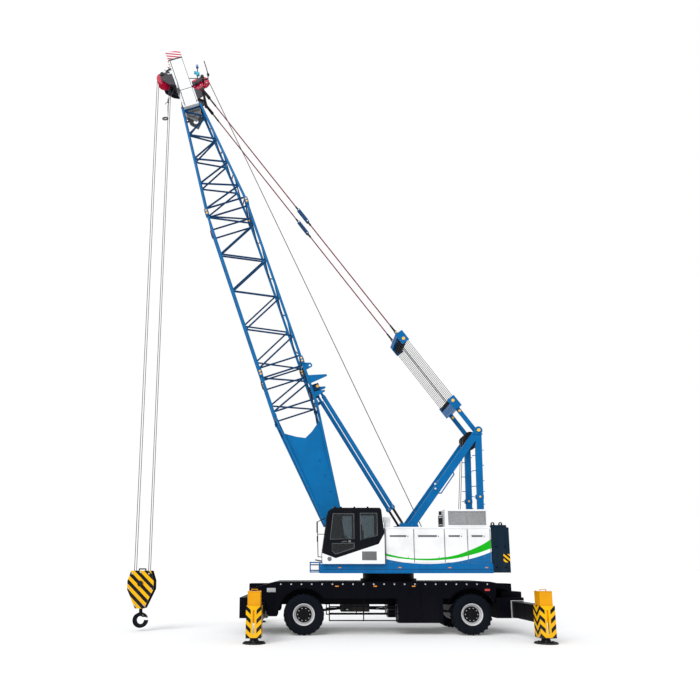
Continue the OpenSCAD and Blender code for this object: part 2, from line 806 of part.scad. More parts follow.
module cab_glass() {
    y0 = -cab_out + 20;
    color([0.25, 0.31, 0.33, 0.5]) {
        slab(y0, y0 + glass_t) grown(-glass_gap) rear_side_window_outline();
        slab(-cab_in - 28, -cab_in - 28 + glass_t) grown(-glass_gap) rear_side_window_outline();
        slab(-cab_in - 28, -cab_in - 28 + glass_t) grown(-glass_gap) door_window_outline();
        slab(-cab_out + 110 + glass_gap, -cab_in - 110 - glass_gap) slanted_pane(cab_front + 16, 210 / 1420, 370, 430, 1690);
        slab(-cab_out + 110 + glass_gap, -cab_in - 110 - glass_gap) slanted_pane(cab_rear - 34, -90 / 820, 1030, 1090, 1720);
    }
}

module cab_door() {
    color([0.18, 0.20, 0.23]) {
        difference() {
            slab(-cab_out, -cab_out + cab_wall - 6) difference() {
                door_outline();
                door_window_outline();
                door_lower_outline();
            }
            door_barrels(600 + hinge_h, hinge_d + 12, hinge_h + 6);
        }
        door_barrels(600, hinge_d, hinge_h);
    }
}

module door_glass() {
    color([0.25, 0.31, 0.33, 0.5]) {
        slab(-cab_out + 20, -cab_out + 20 + glass_t) grown(-glass_gap) door_window_outline();
        slab(-cab_out + 20, -cab_out + 20 + glass_t) grown(-glass_gap) door_lower_outline();
    }
}

module cab_seat() {
    color([0.10, 0.10, 0.11]) {
        y = -(cab_out + cab_in) / 2;
        block([-1150, y - 130, cab_z + cab_wall], [-850, y + 130, cab_z + 400]);
        block([-1280, y - 250, cab_z + 400], [-760, y + 250, cab_z + 530]);
        block([-880, y - 240, cab_z + 530], [-760, y + 240, cab_z + 1150]);
    }
}

// Gantry and luffing gear

module strut(p, q, w) {
    v = q - p;
    translate(p) rotate(atan2(v[1], v[0])) translate([0, -w / 2]) square([norm(v), w]);
}

module gantry() {
    color([0.0, 0.45, 0.75]) union() {
        for (side = [near, far]) {
            y = side * gantry_y;
            union() {
                slab(y - gantry_t / 2, y + gantry_t / 2) union() {
                    strut([gantry_foot_x, gantry_foot_z], [apex_x, apex_z], leg_front_w);
                    translate([gantry_foot_x, gantry_foot_z]) circle(d = leg_front_w + 30);
                    translate([apex_x, apex_z]) circle(d = 300);
                    strut([apex_x - 80, house_z + 2.2], [apex_x, apex_z], leg_rear_w);
                }
                pin_y(gantry_foot_x, gantry_foot_z, gantry_pin_d, y - gantry_t / 2 - 50, y + gantry_t / 2 + 50);
            }
        }
        pin_y(apex_x, apex_z, 120, -gantry_y, gantry_y);
        pin_y(gantry_foot_x + 1250, gantry_foot_z + 1710, 140, -gantry_y, gantry_y);
    }
}

module luffing_block() {
    half = block_w / 2;
    color([0.0, 0.45, 0.75]) on_luff_line(0) {
        for (side = [near, far]) difference() {
            union() {
                translate([0, side * (half - 140) + 25, 0]) rotate([90, 0, 0]) cylinder(d = 220, h = 50);
                translate([-80, side * (half - 140) - 25, 60]) cube([160, 50, link_len - 55]);
            }
            translate([0, side * (half - 140) + 60, 0]) rotate([90, 0, 0]) cylinder(d = 120.6, h = 120);
        }
        translate([-block_depth / 2, -half, link_len]) cube([block_depth, block_w, block_len - 180]);
        for (i = [-3:3])
            translate([0, i * 150 + 20, link_len + block_len - 150]) rotate([90, 0, 0]) cylinder(d = 300, h = 40);
        for (side = [near, far])
            translate([-block_depth / 2, side * (half - 15) - 15, link_len + block_len - 181]) cube([block_depth, 30, 181]);
        translate([0, half - 1, link_len + block_len - 150]) rotate([90, 0, 0]) cylinder(d = 70, h = block_w - 2);
    }
}

module luffing_falls() {
    color([0.6, 0.62, 0.63]) on_luff_line(0)
        for (i = [-3:3], side = [-1, 1])
            translate([side * 160.3, i * 150, link_len + block_len - 149])
                cylinder(d = 20, h = bail_dist - link_len - block_len + 298, $fn = 8);
}

module upper_bail() {
    half = block_w / 2;
    color([0.0, 0.45, 0.75]) on_luff_line(bail_dist) {
        for (i = [-3:3])
            translate([0, i * 150 + 20, 150]) rotate([90, 0, 0]) cylinder(d = 300, h = 40);
        translate([0, half - 1, 150]) rotate([90, 0, 0]) cylinder(d = 70, h = block_w - 2);
        for (side = [near, far])
            translate([-block_depth / 2, side * (half - 15) - 15, 0]) cube([block_depth, 30, 361]);
        translate([-block_depth / 2, -half, 330]) cube([block_depth, block_w, 130]);
        for (side = [near, far]) translate([-50, side * pendant_y - 25, 455]) cube([100, 50, 180]);
    }
}

module pendants() {
    color([0.59, 0.12, 0.27]) on_luff_line(0) for (side = [near, far]) translate([0, side * pendant_y, 0]) {
        translate([0, 0, bail_dist + 635.3]) cylinder(d = pendant_d, h = luff_len - bail_dist - 635.3, $fn = 16);
        translate([0, 29.7, luff_len]) rotate([90, 0, 0]) cylinder(d = 130, h = 59.4);
    }
}

// Backstops

module backstop_rods() {
    color([0.05, 0.05, 0.06]) for (side = [near, far]) on_backstop(side) difference() {
        union() {
            translate([0, 40, 0]) rotate([90, 0, 0]) cylinder(d = 160, h = 80);
            cylinder(d = backstop_rod_d, h = 2900);
        }
        translate([0, 90, 0]) rotate([90, 0, 0]) cylinder(d = backstop_pin_d + 0.6, h = 180);
    }
}

module backstop_tubes() {
    // a narrower neck carries the eye between the lugs of the boom
    neck_d = 98;
    neck_len = 420;
    color([0.0, 0.45, 0.75]) for (side = [near, far]) on_backstop(side) difference() {
        union() {
            translate([0, 0, backstop_bare]) cylinder(d = backstop_tube_d, h = backstop_len - backstop_bare - neck_len);
            translate([0, 0, backstop_bare + 40]) cylinder(d = backstop_tube_d + 40, h = 90);
            translate([0, 0, backstop_len - neck_len - 1]) cylinder(d = neck_d, h = neck_len + 1);
            translate([0, 57.7, backstop_len]) rotate([90, 0, 0]) cylinder(d = 140, h = 115.4);
        }
        translate([0, 0, backstop_bare - 1]) cylinder(d = backstop_rod_d + 0.6, h = 2700);
    }
}

// One lattice face: rungs at the ends and a zigzag between, from chord a to chord b
module zigzag(a0, a1, b0, b1, n, d) {
    // a0, a1 and b0, b1 are the ends of the two chords
    for (i = [0:n - 1]) {
        pa = a0 + (a1 - a0) * (i / n);
        pb = b0 + (b1 - b0) * ((i + 0.5) / n);
        pc = a0 + (a1 - a0) * ((i + 1) / n);
        rod(pa, pb, d, 8);
        rod(pb, pc, d, 8);
    }
}

module lattice(s0, s1, depth0, depth1, w0, w1, n, margin) {
    c = [for (e = [[s0, depth0, w0], [s1, depth1, w1]])
        [for (k = [[-1, -1], [-1, 1], [1, 1], [1, -1]]) [e[0], k[0] * e[2] / 2, k[1] * e[1] / 2]]];
    f = margin / (s1 - s0);
    function at(k, u) = c[0][k] + (c[1][k] - c[0][k]) * u;
    for (k = [0:3]) {
        rod(c[0][k], c[1][k], chord_d);
        j = (k + 1) % 4;
        zigzag(at(k, f), at(k, 1 - f), at(j, f), at(j, 1 - f), n, (k % 2 == 0) ? lace_d : lace_thin_d);
        for (u = [f, 1 - f]) rod(at(k, u), at(j, u), lace_d, 8);
    }
}

module boom_base() {
    // the plated foot ends and the lattice begins at split
    split = base_len - 1700;
    plate_end = split - 700;
    color([0.0, 0.45, 0.75]) on_boom() union() {
        lattice(split, base_len - 70, boom_depth, boom_depth, boom_w, boom_w, 1, 130);
        for (sy = [near, far]) {
            for (sz = [-1, 1])
                rod([900, sy * (foot_half_w - 60), sz * 300], [split, sy * boom_w / 2, sz * boom_depth / 2], chord_d);
            for (sz = [-1, 1])
                rod([split - 70, sy * boom_w / 2, sz * boom_depth / 2], [split + 50, sy * boom_w / 2, sz * boom_depth / 2], chord_d + 40);
            y = sy * (foot_half_w - 30);
            difference() {
                translate([0, y + 30, 0]) rotate([90, 0, 0]) linear_extrude(60) union() {
                    circle(d = 300);
                    polygon([
                        [0, -150], [900, -300], [plate_end - 40, -690], [plate_end - 300, -300], [plate_end - 450, 0],
                        [plate_end - 300, 300], [plate_end, 690], [900, 300], [0, 150]
                    ]);
                }
                translate([0, y + 60, 0]) rotate([90, 0, 0]) cylinder(d = foot_pin_d, h = 120);
            }
            for (sz = [-1, 1]) rod([base_len - 90, sy * boom_w / 2, sz * boom_depth / 2], [base_len - 0.3, sy * boom_w / 2, sz * boom_depth / 2], 150);
        }
        // cross plate between the side plates
        translate([1300, -foot_half_w + 59, -260]) cube([60, 2 * foot_half_w - 118, 520]);
        translate([plate_end - 1600, -foot_half_w + 59, -380]) cube([60, 2 * foot_half_w - 118, 760]);
        for (side = [near, far], e = [-1, 1])
            translate([backstop_s - 120, side * backstop_y + e * 70 - 12, boom_depth / 2 - 20]) cube([240, 24, 340]);
        translate([backstop_s - 60, -boom_w / 2, boom_depth / 2 - 40]) cube([120, boom_w, 80]);
        // brackets on the rear chords
        for (side = [near, far]) translate([0, side * (boom_w / 2 - 4) + 12, boom_depth / 2]) rotate([90, 0, 0]) linear_extrude(24) {
            translate([base_len - 420, 0]) difference() {
                polygon([[0, 0], [320, 0], [220, 280], [120, 320], [60, 280]]);
                translate([135, 220]) circle(d = 80);
            }
            translate([base_len - 960, 0]) polygon([[0, 0], [340, 0], [150, 700], [80, 700]]);
            translate([base_len - 1520, 0]) polygon([[0, 0], [220, 0], [160, 440], [100, 440]]);
        }
    }
}

module boom_insert() {
    color([0.0, 0.45, 0.75]) on_boom() union() {
        lattice(insert_s + 70, top_s - 70, boom_depth, boom_depth, boom_w, boom_w, 4, 130);
        for (sy = [-1, 1], sz = [-1, 1]) {
            p = [0, sy * boom_w / 2, sz * boom_depth / 2];
            rod(p + [insert_s, 0, 0], p + [insert_s + 90, 0, 0], 150);
            rod(p + [top_s - 90, 0, 0], p + [top_s - 0.3, 0, 0], 150);
        }
    }
}

module boom_top() {
    color([0.0, 0.45, 0.75]) on_boom() union() {
        lattice(top_s + 70, head_s, boom_depth, head_depth, boom_w, head_w, 4, 130);
        for (sy = [-1, 1], sz = [-1, 1]) {
            p = [0, sy * boom_w / 2, sz * boom_depth / 2];
            rod(p + [top_s, 0, 0], p + [top_s + 90, 0, 0], 150);
        }
    }
}

module head_outline() {
    u = head_len;
    v = head_box;
    translate([head_s, 0]) polygon([
        [-0.25 * u, 0], [-0.143 * u, 0.43 * v], [0, 0.53 * v], [0.054 * u, 0.65 * v], [0.32 * u, 0.475 * v],
        [0.98 * u, 0.5 * v], [1.025 * u, -0.53 * v], [0.32 * u, -0.42 * v], [0.054 * u, -0.65 * v], [0, -0.53 * v],
        [-0.143 * u, -0.43 * v]
    ]);
}

// Arms that carry the main sheaves and the guide sheaves
module head_arms() {
    root = head_box / 3;
    polygon([
        [sheave_s - 680, -root], [sheave_s - 610, -2 * root], [sheave_s - 160, sheave_t - 70],
        [sheave_s + 130, sheave_t - 90], [sheave_s + 390, -root]
    ]);
    polygon([
        [guide_s - 60, root], [guide_s - 60, 560], [guide_s + 150, 900], [guide_s + 270, 850], [guide_s + 70, 480],
        [guide_s + 120, root]
    ]);
}

module boom_head() {
    arm_y = 200;
    seat_w = head_w + chord_d;
    seat_d = head_depth + chord_d;
    // the leaning top chords end square to themselves, a little beyond head_s
    chord_lean = atan(norm([boom_w - head_w, boom_depth - head_depth]) / 2 / (head_s - top_s - 70));
    seat_gap = 0.3 + chord_d / 2 * sin(chord_lean);
    color([0.96, 0.96, 0.96]) on_boom() union() {
        for (side = [near, far]) {
            translate([0, side * arm_y + 15, 0]) rotate([90, 0, 0]) linear_extrude(30) difference() {
                union() {
                    head_outline();
                    head_arms();
                }
                translate([head_s - 330, 0]) circle(d = head_box / 3);
            }
            translate([0, side * 335 + 12, 0]) rotate([90, 0, 0]) linear_extrude(24) polygon([
                [sheave_s - 700, sheave_t + 430], [sheave_s - 560, sheave_t + 170], [sheave_s - 250, sheave_t - 100],
                [sheave_s + 170, sheave_t - 120], [sheave_s + 200, sheave_t + 130], [sheave_s - 150, sheave_t + 250],
                [sheave_s - 460, sheave_t + 480]
            ]);
            translate([0, side * 225 + 25, 0]) rotate([90, 0, 0]) linear_extrude(50) polygon([
                [pendant_s - 250, 240], [pendant_s + 420, 240], [pendant_s + 60, pendant_t + 50], [pendant_s - 60, pendant_t + 50]
            ]);
        }
        // cross plates and the covers between the side plates
        translate([head_s + seat_gap, -seat_w / 2, -seat_d / 2]) cube([40, seat_w, seat_d]);
        translate([head_s + head_len / 4, -190, -0.45 * head_box]) cube([30, 380, 0.9 * head_box]);
        translate([head_s + 0.957 * head_len, -190, -0.467 * head_box]) cube([40, 380, 0.933 * head_box]);
        for (t = [-0.38, 0.367]) translate([head_s + 0.32 * head_len, -190, t * head_box]) cube([0.643 * head_len, 380, 20]);
        // axles
        translate([sheave_s, 347, sheave_t]) rotate([90, 0, 0]) cylinder(d = 90, h = 694);
        translate([sheave_s - 560, 340, sheave_t + 380]) rotate([90, 0, 0]) cylinder(d = 80, h = 680);
        for (c = guide_centres) translate([c[0], arm_y, c[1]]) rotate([90, 0, 0]) cylinder(d = 90, h = 2 * arm_y);
        translate([pendant_s, pendant_y - 30, pendant_t]) rotate([90, 0, 0]) cylinder(d = 110, h = 2 * pendant_y - 60);
    }
}

module sheave_wheel(d) {
    rotate([90, 0, 0]) rotate_extrude($fn = 48) polygon([
        [45.2, -32], [d / 2, -32], [d / 2 - groove, -8], [d / 2 - groove, 8], [d / 2, 32], [45.2, 32]
    ]);
}

module head_sheaves() {
    color([0.88, 0.08, 0.27]) on_boom() {
        for (y = fall_ys) translate([sheave_s, y, sheave_t]) sheave_wheel(sheave_d);
        for (c = guide_centres) translate([c[0], c[2], c[1]]) sheave_wheel(guide_d);
    }
}

// Hook

module hoist_falls() {
    color([0.75, 0.77, 0.78]) for (x = [-1, 1] * (sheave_d / 2 - groove + rope_d / 2 + 0.3), y = [fall_ys[0], -fall_ys[0]])
        translate([sheave_x + x, y, hook_axle_z]) cylinder(d = rope_d, h = sheave_z - hook_axle_z, $fn = 8);
}

module hook_block_outline() {
    w = hook_block_w / 2;
    polygon([
        [sheave_x - w + 120, hook_top - 60], [sheave_x + w - 120, hook_top - 60], [sheave_x + w, hook_axle_z + 100], [sheave_x + w, hook_axle_z - 200],
        [sheave_x + 160, hook_bottom_z], [sheave_x - 160, hook_bottom_z], [sheave_x - w, hook_axle_z - 200], [sheave_x - w, hook_axle_z + 100]
    ]);
}

module hook_block() {
    t = hook_block_t / 2;
    color([0.9, 0.7, 0.05]) difference() {
        union() {
            slab(-t, -t + 50) hook_block_outline();
            slab(t - 50, t) hook_block_outline();
            for (y = fall_ys) {
                pin_y(sheave_x, hook_axle_z, sheave_d - 2 * groove, y - 28, y + 28);
                for (e = [-28, 18]) pin_y(sheave_x, hook_axle_z, sheave_d, y + e, y + e + 10);
            }
            pin_y(sheave_x, hook_axle_z, 110, -t - 30, t + 30);
            translate([sheave_x - 160, -t, hook_bottom_z]) cube([320, 2 * t, 150]);
        }
        translate([sheave_x, 0, hook_bottom_z - 1]) cylinder(d = 120.6, h = 160);
    }
}

module hook() {
    r = 200;
    c = hook_bottom_z - hook_drop + r + 70;
    color([0.15, 0.15, 0.16]) union() {
        translate([sheave_x, 0, c + 150]) cylinder(d = 120, h = hook_bottom_z + 200 - c - 150);
        translate([sheave_x, 0, hook_bottom_z + 150.3]) cylinder(d = 220, h = 60);
        translate([sheave_x, 0, c + 150]) cylinder(d = 160, h = 120);
        translate([sheave_x, 60, c]) rotate([90, 0, 0]) linear_extrude(120) difference() {
            union() {
                circle(r = r + 70);
                translate([-80, 0]) square([160, r + 40]);
            }
            circle(r = r - 60);
            translate([0, 0]) square([400, 110]);
        }
    }
}

module tyre_fn() { color([0.2, 0.2, 0.21]) at_wheel(axle_front, near) tyre_shape(); }
module tyre_ff() { color([0.2, 0.2, 0.21]) at_wheel(axle_front, far) tyre_shape(); }
module tyre_rn() { color([0.2, 0.2, 0.21]) at_wheel(axle_rear, near) tyre_shape(); }
module tyre_rf() { color([0.2, 0.2, 0.21]) at_wheel(axle_rear, far) tyre_shape(); }
module rim_fn() { color([0.84, 0.84, 0.86]) at_wheel(axle_front, near) rim_shape(); }
module rim_ff() { color([0.84, 0.84, 0.86]) at_wheel(axle_front, far) rim_shape(); }
module rim_rn() { color([0.84, 0.84, 0.86]) at_wheel(axle_rear, near) rim_shape(); }
module rim_rf() { color([0.84, 0.84, 0.86]) at_wheel(axle_rear, far) rim_shape(); }
module beam_fn() { color([0.08, 0.08, 0.1]) beam(front_channel, near); }
module beam_ff() { color([0.08, 0.08, 0.1]) beam(front_outer_channel, far); }
module beam_rn() { color([0.08, 0.08, 0.1]) beam(rear_channel, near); }
module beam_rf() { color([0.08, 0.08, 0.1]) beam(rear_inner_channel, far); }
module jack_fn() { color([1.0, 0.69, 0.0]) jack(front_channel, near); }
module jack_ff() { color([1.0, 0.69, 0.0]) jack(front_outer_channel, far); }
module jack_rn() { color([1.0, 0.69, 0.0]) jack(rear_channel, near); }
module jack_rf() { color([1.0, 0.69, 0.0]) jack(rear_inner_channel, far); }

translate([shift_x, 0, 0]) carrier_frame();
translate([shift_x, 0, 0]) side_guards();
translate([shift_x, 0, 0]) driveline();
translate([shift_x, 0, 0]) front_axle();
translate([shift_x, 0, 0]) rear_axle();
translate([shift_x, 0, 0]) slew_ring();
translate([shift_x, 0, 0]) knuckle_near();
translate([shift_x, 0, 0]) knuckle_far();
translate([shift_x, 0, 0]) tyre_fn();
translate([shift_x, 0, 0]) tyre_ff();
translate([shift_x, 0, 0]) tyre_rn();
translate([shift_x, 0, 0]) tyre_rf();
translate([shift_x, 0, 0]) rim_fn();
translate([shift_x, 0, 0]) rim_ff();
translate([shift_x, 0, 0]) rim_rn();
translate([shift_x, 0, 0]) rim_rf();
translate([shift_x, 0, 0]) beam_fn();
translate([shift_x, 0, 0]) beam_ff();
translate([shift_x, 0, 0]) beam_rn();
translate([shift_x, 0, 0]) beam_rf();
translate([shift_x, 0, 0]) jack_fn();
translate([shift_x, 0, 0]) jack_ff();
translate([shift_x, 0, 0]) jack_rn();
translate([shift_x, 0, 0]) jack_rf();
translate([shift_x, 0, 0]) turntable();
translate([shift_x, 0, 0]) house();
translate([shift_x, 0, 0]) house_door_1();
translate([shift_x, 0, 0]) house_door_2();
translate([shift_x, 0, 0]) house_door_3();
translate([shift_x, 0, 0]) house_door_4();
translate([shift_x, 0, 0]) intake();
translate([shift_x, 0, 0]) exhaust();
translate([shift_x, 0, 0]) counterweight();
translate([shift_x, 0, 0]) winches();
translate([shift_x, 0, 0]) cab_shell();
translate([shift_x, 0, 0]) cab_skirt();
translate([shift_x, 0, 0]) cab_glass();
translate([shift_x, 0, 0]) cab_door();
translate([shift_x, 0, 0]) door_glass();
translate([shift_x, 0, 0]) cab_seat();
translate([shift_x, 0, 0]) gantry();
translate([shift_x, 0, 0]) luffing_block();
translate([shift_x, 0, 0]) luffing_falls();
translate([shift_x, 0, 0]) upper_bail();
translate([shift_x, 0, 0]) pendants();
translate([shift_x, 0, 0]) backstop_tubes();
translate([shift_x, 0, 0]) backstop_rods();
translate([shift_x, 0, 0]) boom_base();
translate([shift_x, 0, 0]) boom_insert();
translate([shift_x, 0, 0]) boom_top();
translate([shift_x, 0, 0]) boom_head();
translate([shift_x, 0, 0]) head_sheaves();
translate([shift_x, 0, 0]) hoist_falls();
translate([shift_x, 0, 0]) hook_block();
translate([shift_x, 0, 0]) hook();
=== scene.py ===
import bpy
import bmesh
import math
from mathutils import Matrix, Vector


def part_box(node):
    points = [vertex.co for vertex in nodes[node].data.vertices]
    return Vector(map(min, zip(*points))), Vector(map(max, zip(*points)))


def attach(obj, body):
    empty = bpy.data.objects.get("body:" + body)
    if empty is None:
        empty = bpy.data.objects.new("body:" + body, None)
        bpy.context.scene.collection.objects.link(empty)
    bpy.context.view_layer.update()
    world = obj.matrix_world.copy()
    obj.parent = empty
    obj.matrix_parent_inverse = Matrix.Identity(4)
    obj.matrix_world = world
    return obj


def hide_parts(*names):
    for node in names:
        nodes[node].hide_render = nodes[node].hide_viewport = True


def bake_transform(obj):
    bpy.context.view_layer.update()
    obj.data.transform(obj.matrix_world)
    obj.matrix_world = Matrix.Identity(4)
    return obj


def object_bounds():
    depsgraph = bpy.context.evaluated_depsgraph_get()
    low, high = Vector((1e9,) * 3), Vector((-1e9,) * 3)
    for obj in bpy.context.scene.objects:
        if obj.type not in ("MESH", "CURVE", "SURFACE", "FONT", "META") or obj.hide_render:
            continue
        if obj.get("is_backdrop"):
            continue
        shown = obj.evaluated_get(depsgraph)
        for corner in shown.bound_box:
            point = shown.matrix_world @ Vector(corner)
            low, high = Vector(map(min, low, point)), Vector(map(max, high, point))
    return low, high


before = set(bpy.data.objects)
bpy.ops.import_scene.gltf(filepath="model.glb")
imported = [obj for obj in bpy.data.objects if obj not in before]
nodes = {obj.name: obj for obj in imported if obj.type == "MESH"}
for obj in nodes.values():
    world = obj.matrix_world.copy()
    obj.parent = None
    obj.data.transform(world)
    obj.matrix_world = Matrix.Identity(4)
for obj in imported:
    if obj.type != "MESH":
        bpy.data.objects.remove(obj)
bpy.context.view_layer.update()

# Studio: a level white floor under an even pale sky, with one broad soft lamp high on the left.
# The camera stands about 19 m from the near wheels at eye height and looks slightly up. Its lens comes
# from the photograph's perspective: focal length and lens axis in pixels of the 700 pixel frame.
scene = bpy.context.scene
scene.view_settings.view_transform = "Standard"
image_px = 700
focal_px = 555
lens_axis_px = (305, 484)
upward_slope = 0.155
camera = bpy.data.objects.new("camera", bpy.data.cameras.new("camera"))
scene.collection.objects.link(camera)
camera.location = (-0.566, -20.5, 2.16)
camera.rotation_euler = (math.radians(90) + math.atan(upward_slope), 0, 0)
camera.data.sensor_width = 36
camera.data.lens = camera.data.sensor_width * focal_px / image_px
camera.data.shift_x = (image_px / 2 - lens_axis_px[0]) / image_px
camera.data.shift_y = (lens_axis_px[1] - image_px / 2) / image_px
camera.data.clip_end = 500
scene.camera = camera


def node(tree, kind, values=(), **settings):
    """A shader node with values for its sockets and for its own settings."""
    made = tree.nodes.new("ShaderNode" + kind)
    for name, value in settings.items():
        setattr(made, name, value)
    for socket, value in dict(values).items():
        made.inputs[socket].default_value = value
    return made


def empty_tree(owner):
    """The node tree of a world or a material, with nothing in it."""
    owner.use_nodes = True
    owner.node_tree.nodes.clear()
    return owner.node_tree


sky = bpy.data.worlds.new("pale_sky")
scene.world = sky
tree = empty_tree(sky)
seen = node(tree, "Background", {"Color": (1, 1, 1, 1)})
lit = node(tree, "Background", {"Color": (0.97, 0.985, 1, 1), "Strength": 0.66})
rays = node(tree, "LightPath")
either = node(tree, "Math", operation="MAXIMUM")
mixed = node(tree, "MixShader")
out = node(tree, "OutputWorld")
tree.links.new(rays.outputs["Is Camera Ray"], either.inputs[0])
tree.links.new(rays.outputs["Is Transmission Ray"], either.inputs[1])
tree.links.new(either.outputs[0], mixed.inputs[0])
tree.links.new(lit.outputs[0], mixed.inputs[1])
tree.links.new(seen.outputs[0], mixed.inputs[2])
tree.links.new(mixed.outputs[0], out.inputs[0])

lamp = bpy.data.objects.new("soft_sun", bpy.data.lights.new("soft_sun", "SUN"))
scene.collection.objects.link(lamp)
lamp.data.energy = 1.8
lamp.data.angle = math.radians(40)
lamp.rotation_euler = (math.radians(50), 0, math.radians(-30))

floor_left, floor_front, floor_right, floor_back = -400, -60, 400, 400
floor_mesh = bpy.data.meshes.new("floor")
floor_mesh.from_pydata([(floor_left, floor_front, 0), (floor_right, floor_front, 0),
                        (floor_right, floor_back, 0), (floor_left, floor_back, 0)], [], [(0, 1, 2, 3)])
floor = bpy.data.objects.new("floor", floor_mesh)
scene.collection.objects.link(floor)
floor.location.z = -0.002
floor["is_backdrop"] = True
floor_paint = bpy.data.materials.new("white_floor")
tree = empty_tree(floor_paint)
diffuse = node(tree, "BsdfDiffuse", {"Color": (0.92, 0.92, 0.92, 1)})
glow = node(tree, "Emission", {"Strength": 0.12})
added = node(tree, "AddShader")
out = node(tree, "OutputMaterial")
tree.links.new(diffuse.outputs[0], added.inputs[0])
tree.links.new(glow.outputs[0], added.inputs[1])
tree.links.new(added.outputs[0], out.inputs[0])
floor_mesh.materials.append(floor_paint)

# Chassis: a welded box frame with deck and side plates, in black enamel, dusty towards the road.
# Zinc plated bolts with washers hold the deck's skirt along both edges.
# The enamel is one node group, weathered_enamel: mottled paint, an orange peel and dust from the road up.
weathering = bpy.data.node_groups.new("weathered_enamel", "ShaderNodeTree")
face = weathering.interface
face.new_socket("Paint", in_out="INPUT", socket_type="NodeSocketColor")
face.new_socket("Dust", in_out="INPUT", socket_type="NodeSocketColor")
face.new_socket("Dust Top", in_out="INPUT", socket_type="NodeSocketFloat")
face.new_socket("Dust Amount", in_out="INPUT", socket_type="NodeSocketFloat")
face.new_socket("Gloss", in_out="INPUT", socket_type="NodeSocketFloat")
face.new_socket("Color", in_out="OUTPUT", socket_type="NodeSocketColor")
face.new_socket("Roughness", in_out="OUTPUT", socket_type="NodeSocketFloat")
face.new_socket("Height", in_out="OUTPUT", socket_type="NodeSocketFloat")
wire = weathering.links
given = weathering.nodes.new("NodeGroupInput")
place = node(weathering, "TexCoord")
split = node(weathering, "SeparateXYZ")
wire.new(place.outputs["Object"], split.inputs[0])
mottle = node(weathering, "TexNoise", {"Scale": 1.7, "Detail": 6})
wire.new(place.outputs["Object"], mottle.inputs["Vector"])
orange_peel = node(weathering, "TexNoise", {"Scale": 45, "Detail": 2})
wire.new(place.outputs["Object"], orange_peel.inputs["Vector"])
rain = node(weathering, "Mapping", {"Scale": (9, 9, 0.7)})
wire.new(place.outputs["Object"], rain.inputs["Vector"])
streaks = node(weathering, "TexNoise", {"Scale": 1.0, "Detail": 5})
wire.new(rain.outputs[0], streaks.inputs["Vector"])
low_down = node(weathering, "MapRange", {"To Min": 1, "To Max": 0.12})
wire.new(split.outputs["Z"], low_down.inputs["Value"])
wire.new(given.outputs["Dust Top"], low_down.inputs["From Max"])
patchy = node(weathering, "MapRange", {"From Min": 0.35, "From Max": 0.7})
wire.new(streaks.outputs["Fac"], patchy.inputs["Value"])
film = node(weathering, "Math", operation="MULTIPLY")
wire.new(low_down.outputs[0], film.inputs[0])
wire.new(patchy.outputs[0], film.inputs[1])
dusty = node(weathering, "Math", operation="MULTIPLY")
wire.new(film.outputs[0], dusty.inputs[0])
wire.new(given.outputs["Dust Amount"], dusty.inputs[1])
shade = node(weathering, "MapRange", {"From Min": 0.3, "From Max": 0.7, "To Min": 0.9, "To Max": 1.08})
wire.new(mottle.outputs["Fac"], shade.inputs["Value"])
toned = node(weathering, "VectorMath", operation="SCALE")
wire.new(given.outputs["Paint"], toned.inputs[0])
wire.new(shade.outputs[0], toned.inputs["Scale"])
coated = node(weathering, "Mix", data_type="RGBA")
wire.new(dusty.outputs[0], coated.inputs[0])
wire.new(toned.outputs[0], coated.inputs[6])
wire.new(given.outputs["Dust"], coated.inputs[7])
dull = node(weathering, "Math", {1: 0.45}, operation="MULTIPLY_ADD")
wire.new(dusty.outputs[0], dull.inputs[0])
wire.new(given.outputs["Gloss"], dull.inputs[2])
varied = node(weathering, "Math", {1: 0.12}, operation="MULTIPLY_ADD")
wire.new(mottle.outputs["Fac"], varied.inputs[0])
wire.new(dull.outputs[0], varied.inputs[2])
given_back = weathering.nodes.new("NodeGroupOutput")
wire.new(coated.outputs[2], given_back.inputs["Color"])
wire.new(varied.outputs[0], given_back.inputs["Roughness"])
wire.new(orange_peel.outputs["Fac"], given_back.inputs["Height"])


def enamel(name, paint, rough=0.3, dust_top=2.5, dust=0.3, peel=0.02, coat=0.08, metallic=0.0,
           dust_colour=(0.42, 0.38, 0.33, 1), marked=None, shine=0.10):
    """A painted steel finish. marked(tree) may give a colour socket to use in place of the plain paint."""
    made = bpy.data.materials.new(name)
    made.use_nodes = True
    tree = made.node_tree
    bsdf = tree.nodes["Principled BSDF"]
    bsdf.inputs["Metallic"].default_value = metallic
    bsdf.inputs["Specular IOR Level"].default_value = shine
    bsdf.inputs["Coat Weight"].default_value = coat
    bsdf.inputs["Coat Roughness"].default_value = 0.12
    surface = tree.nodes.new("ShaderNodeGroup")
    surface.node_tree = weathering
    surface.inputs["Paint"].default_value = (*paint, 1)
    surface.inputs["Dust"].default_value = dust_colour
    surface.inputs["Dust Top"].default_value = dust_top
    surface.inputs["Dust Amount"].default_value = dust
    surface.inputs["Gloss"].default_value = rough
    if marked:
        tree.links.new(marked(tree), surface.inputs["Paint"])
    bump = node(tree, "Bump", {"Strength": peel, "Distance": 0.01})
    tree.links.new(surface.outputs["Height"], bump.inputs["Height"])
    tree.links.new(surface.outputs["Color"], bsdf.inputs["Base Color"])
    tree.links.new(surface.outputs["Roughness"], bsdf.inputs["Roughness"])
    tree.links.new(bump.outputs[0], bsdf.inputs["Normal"])
    return made


def finish_in(material, *names):
    """Gives CAD nodes this material."""
    for name in names:
        mesh = nodes[name].data
        mesh.materials.clear()
        mesh.materials.append(material)


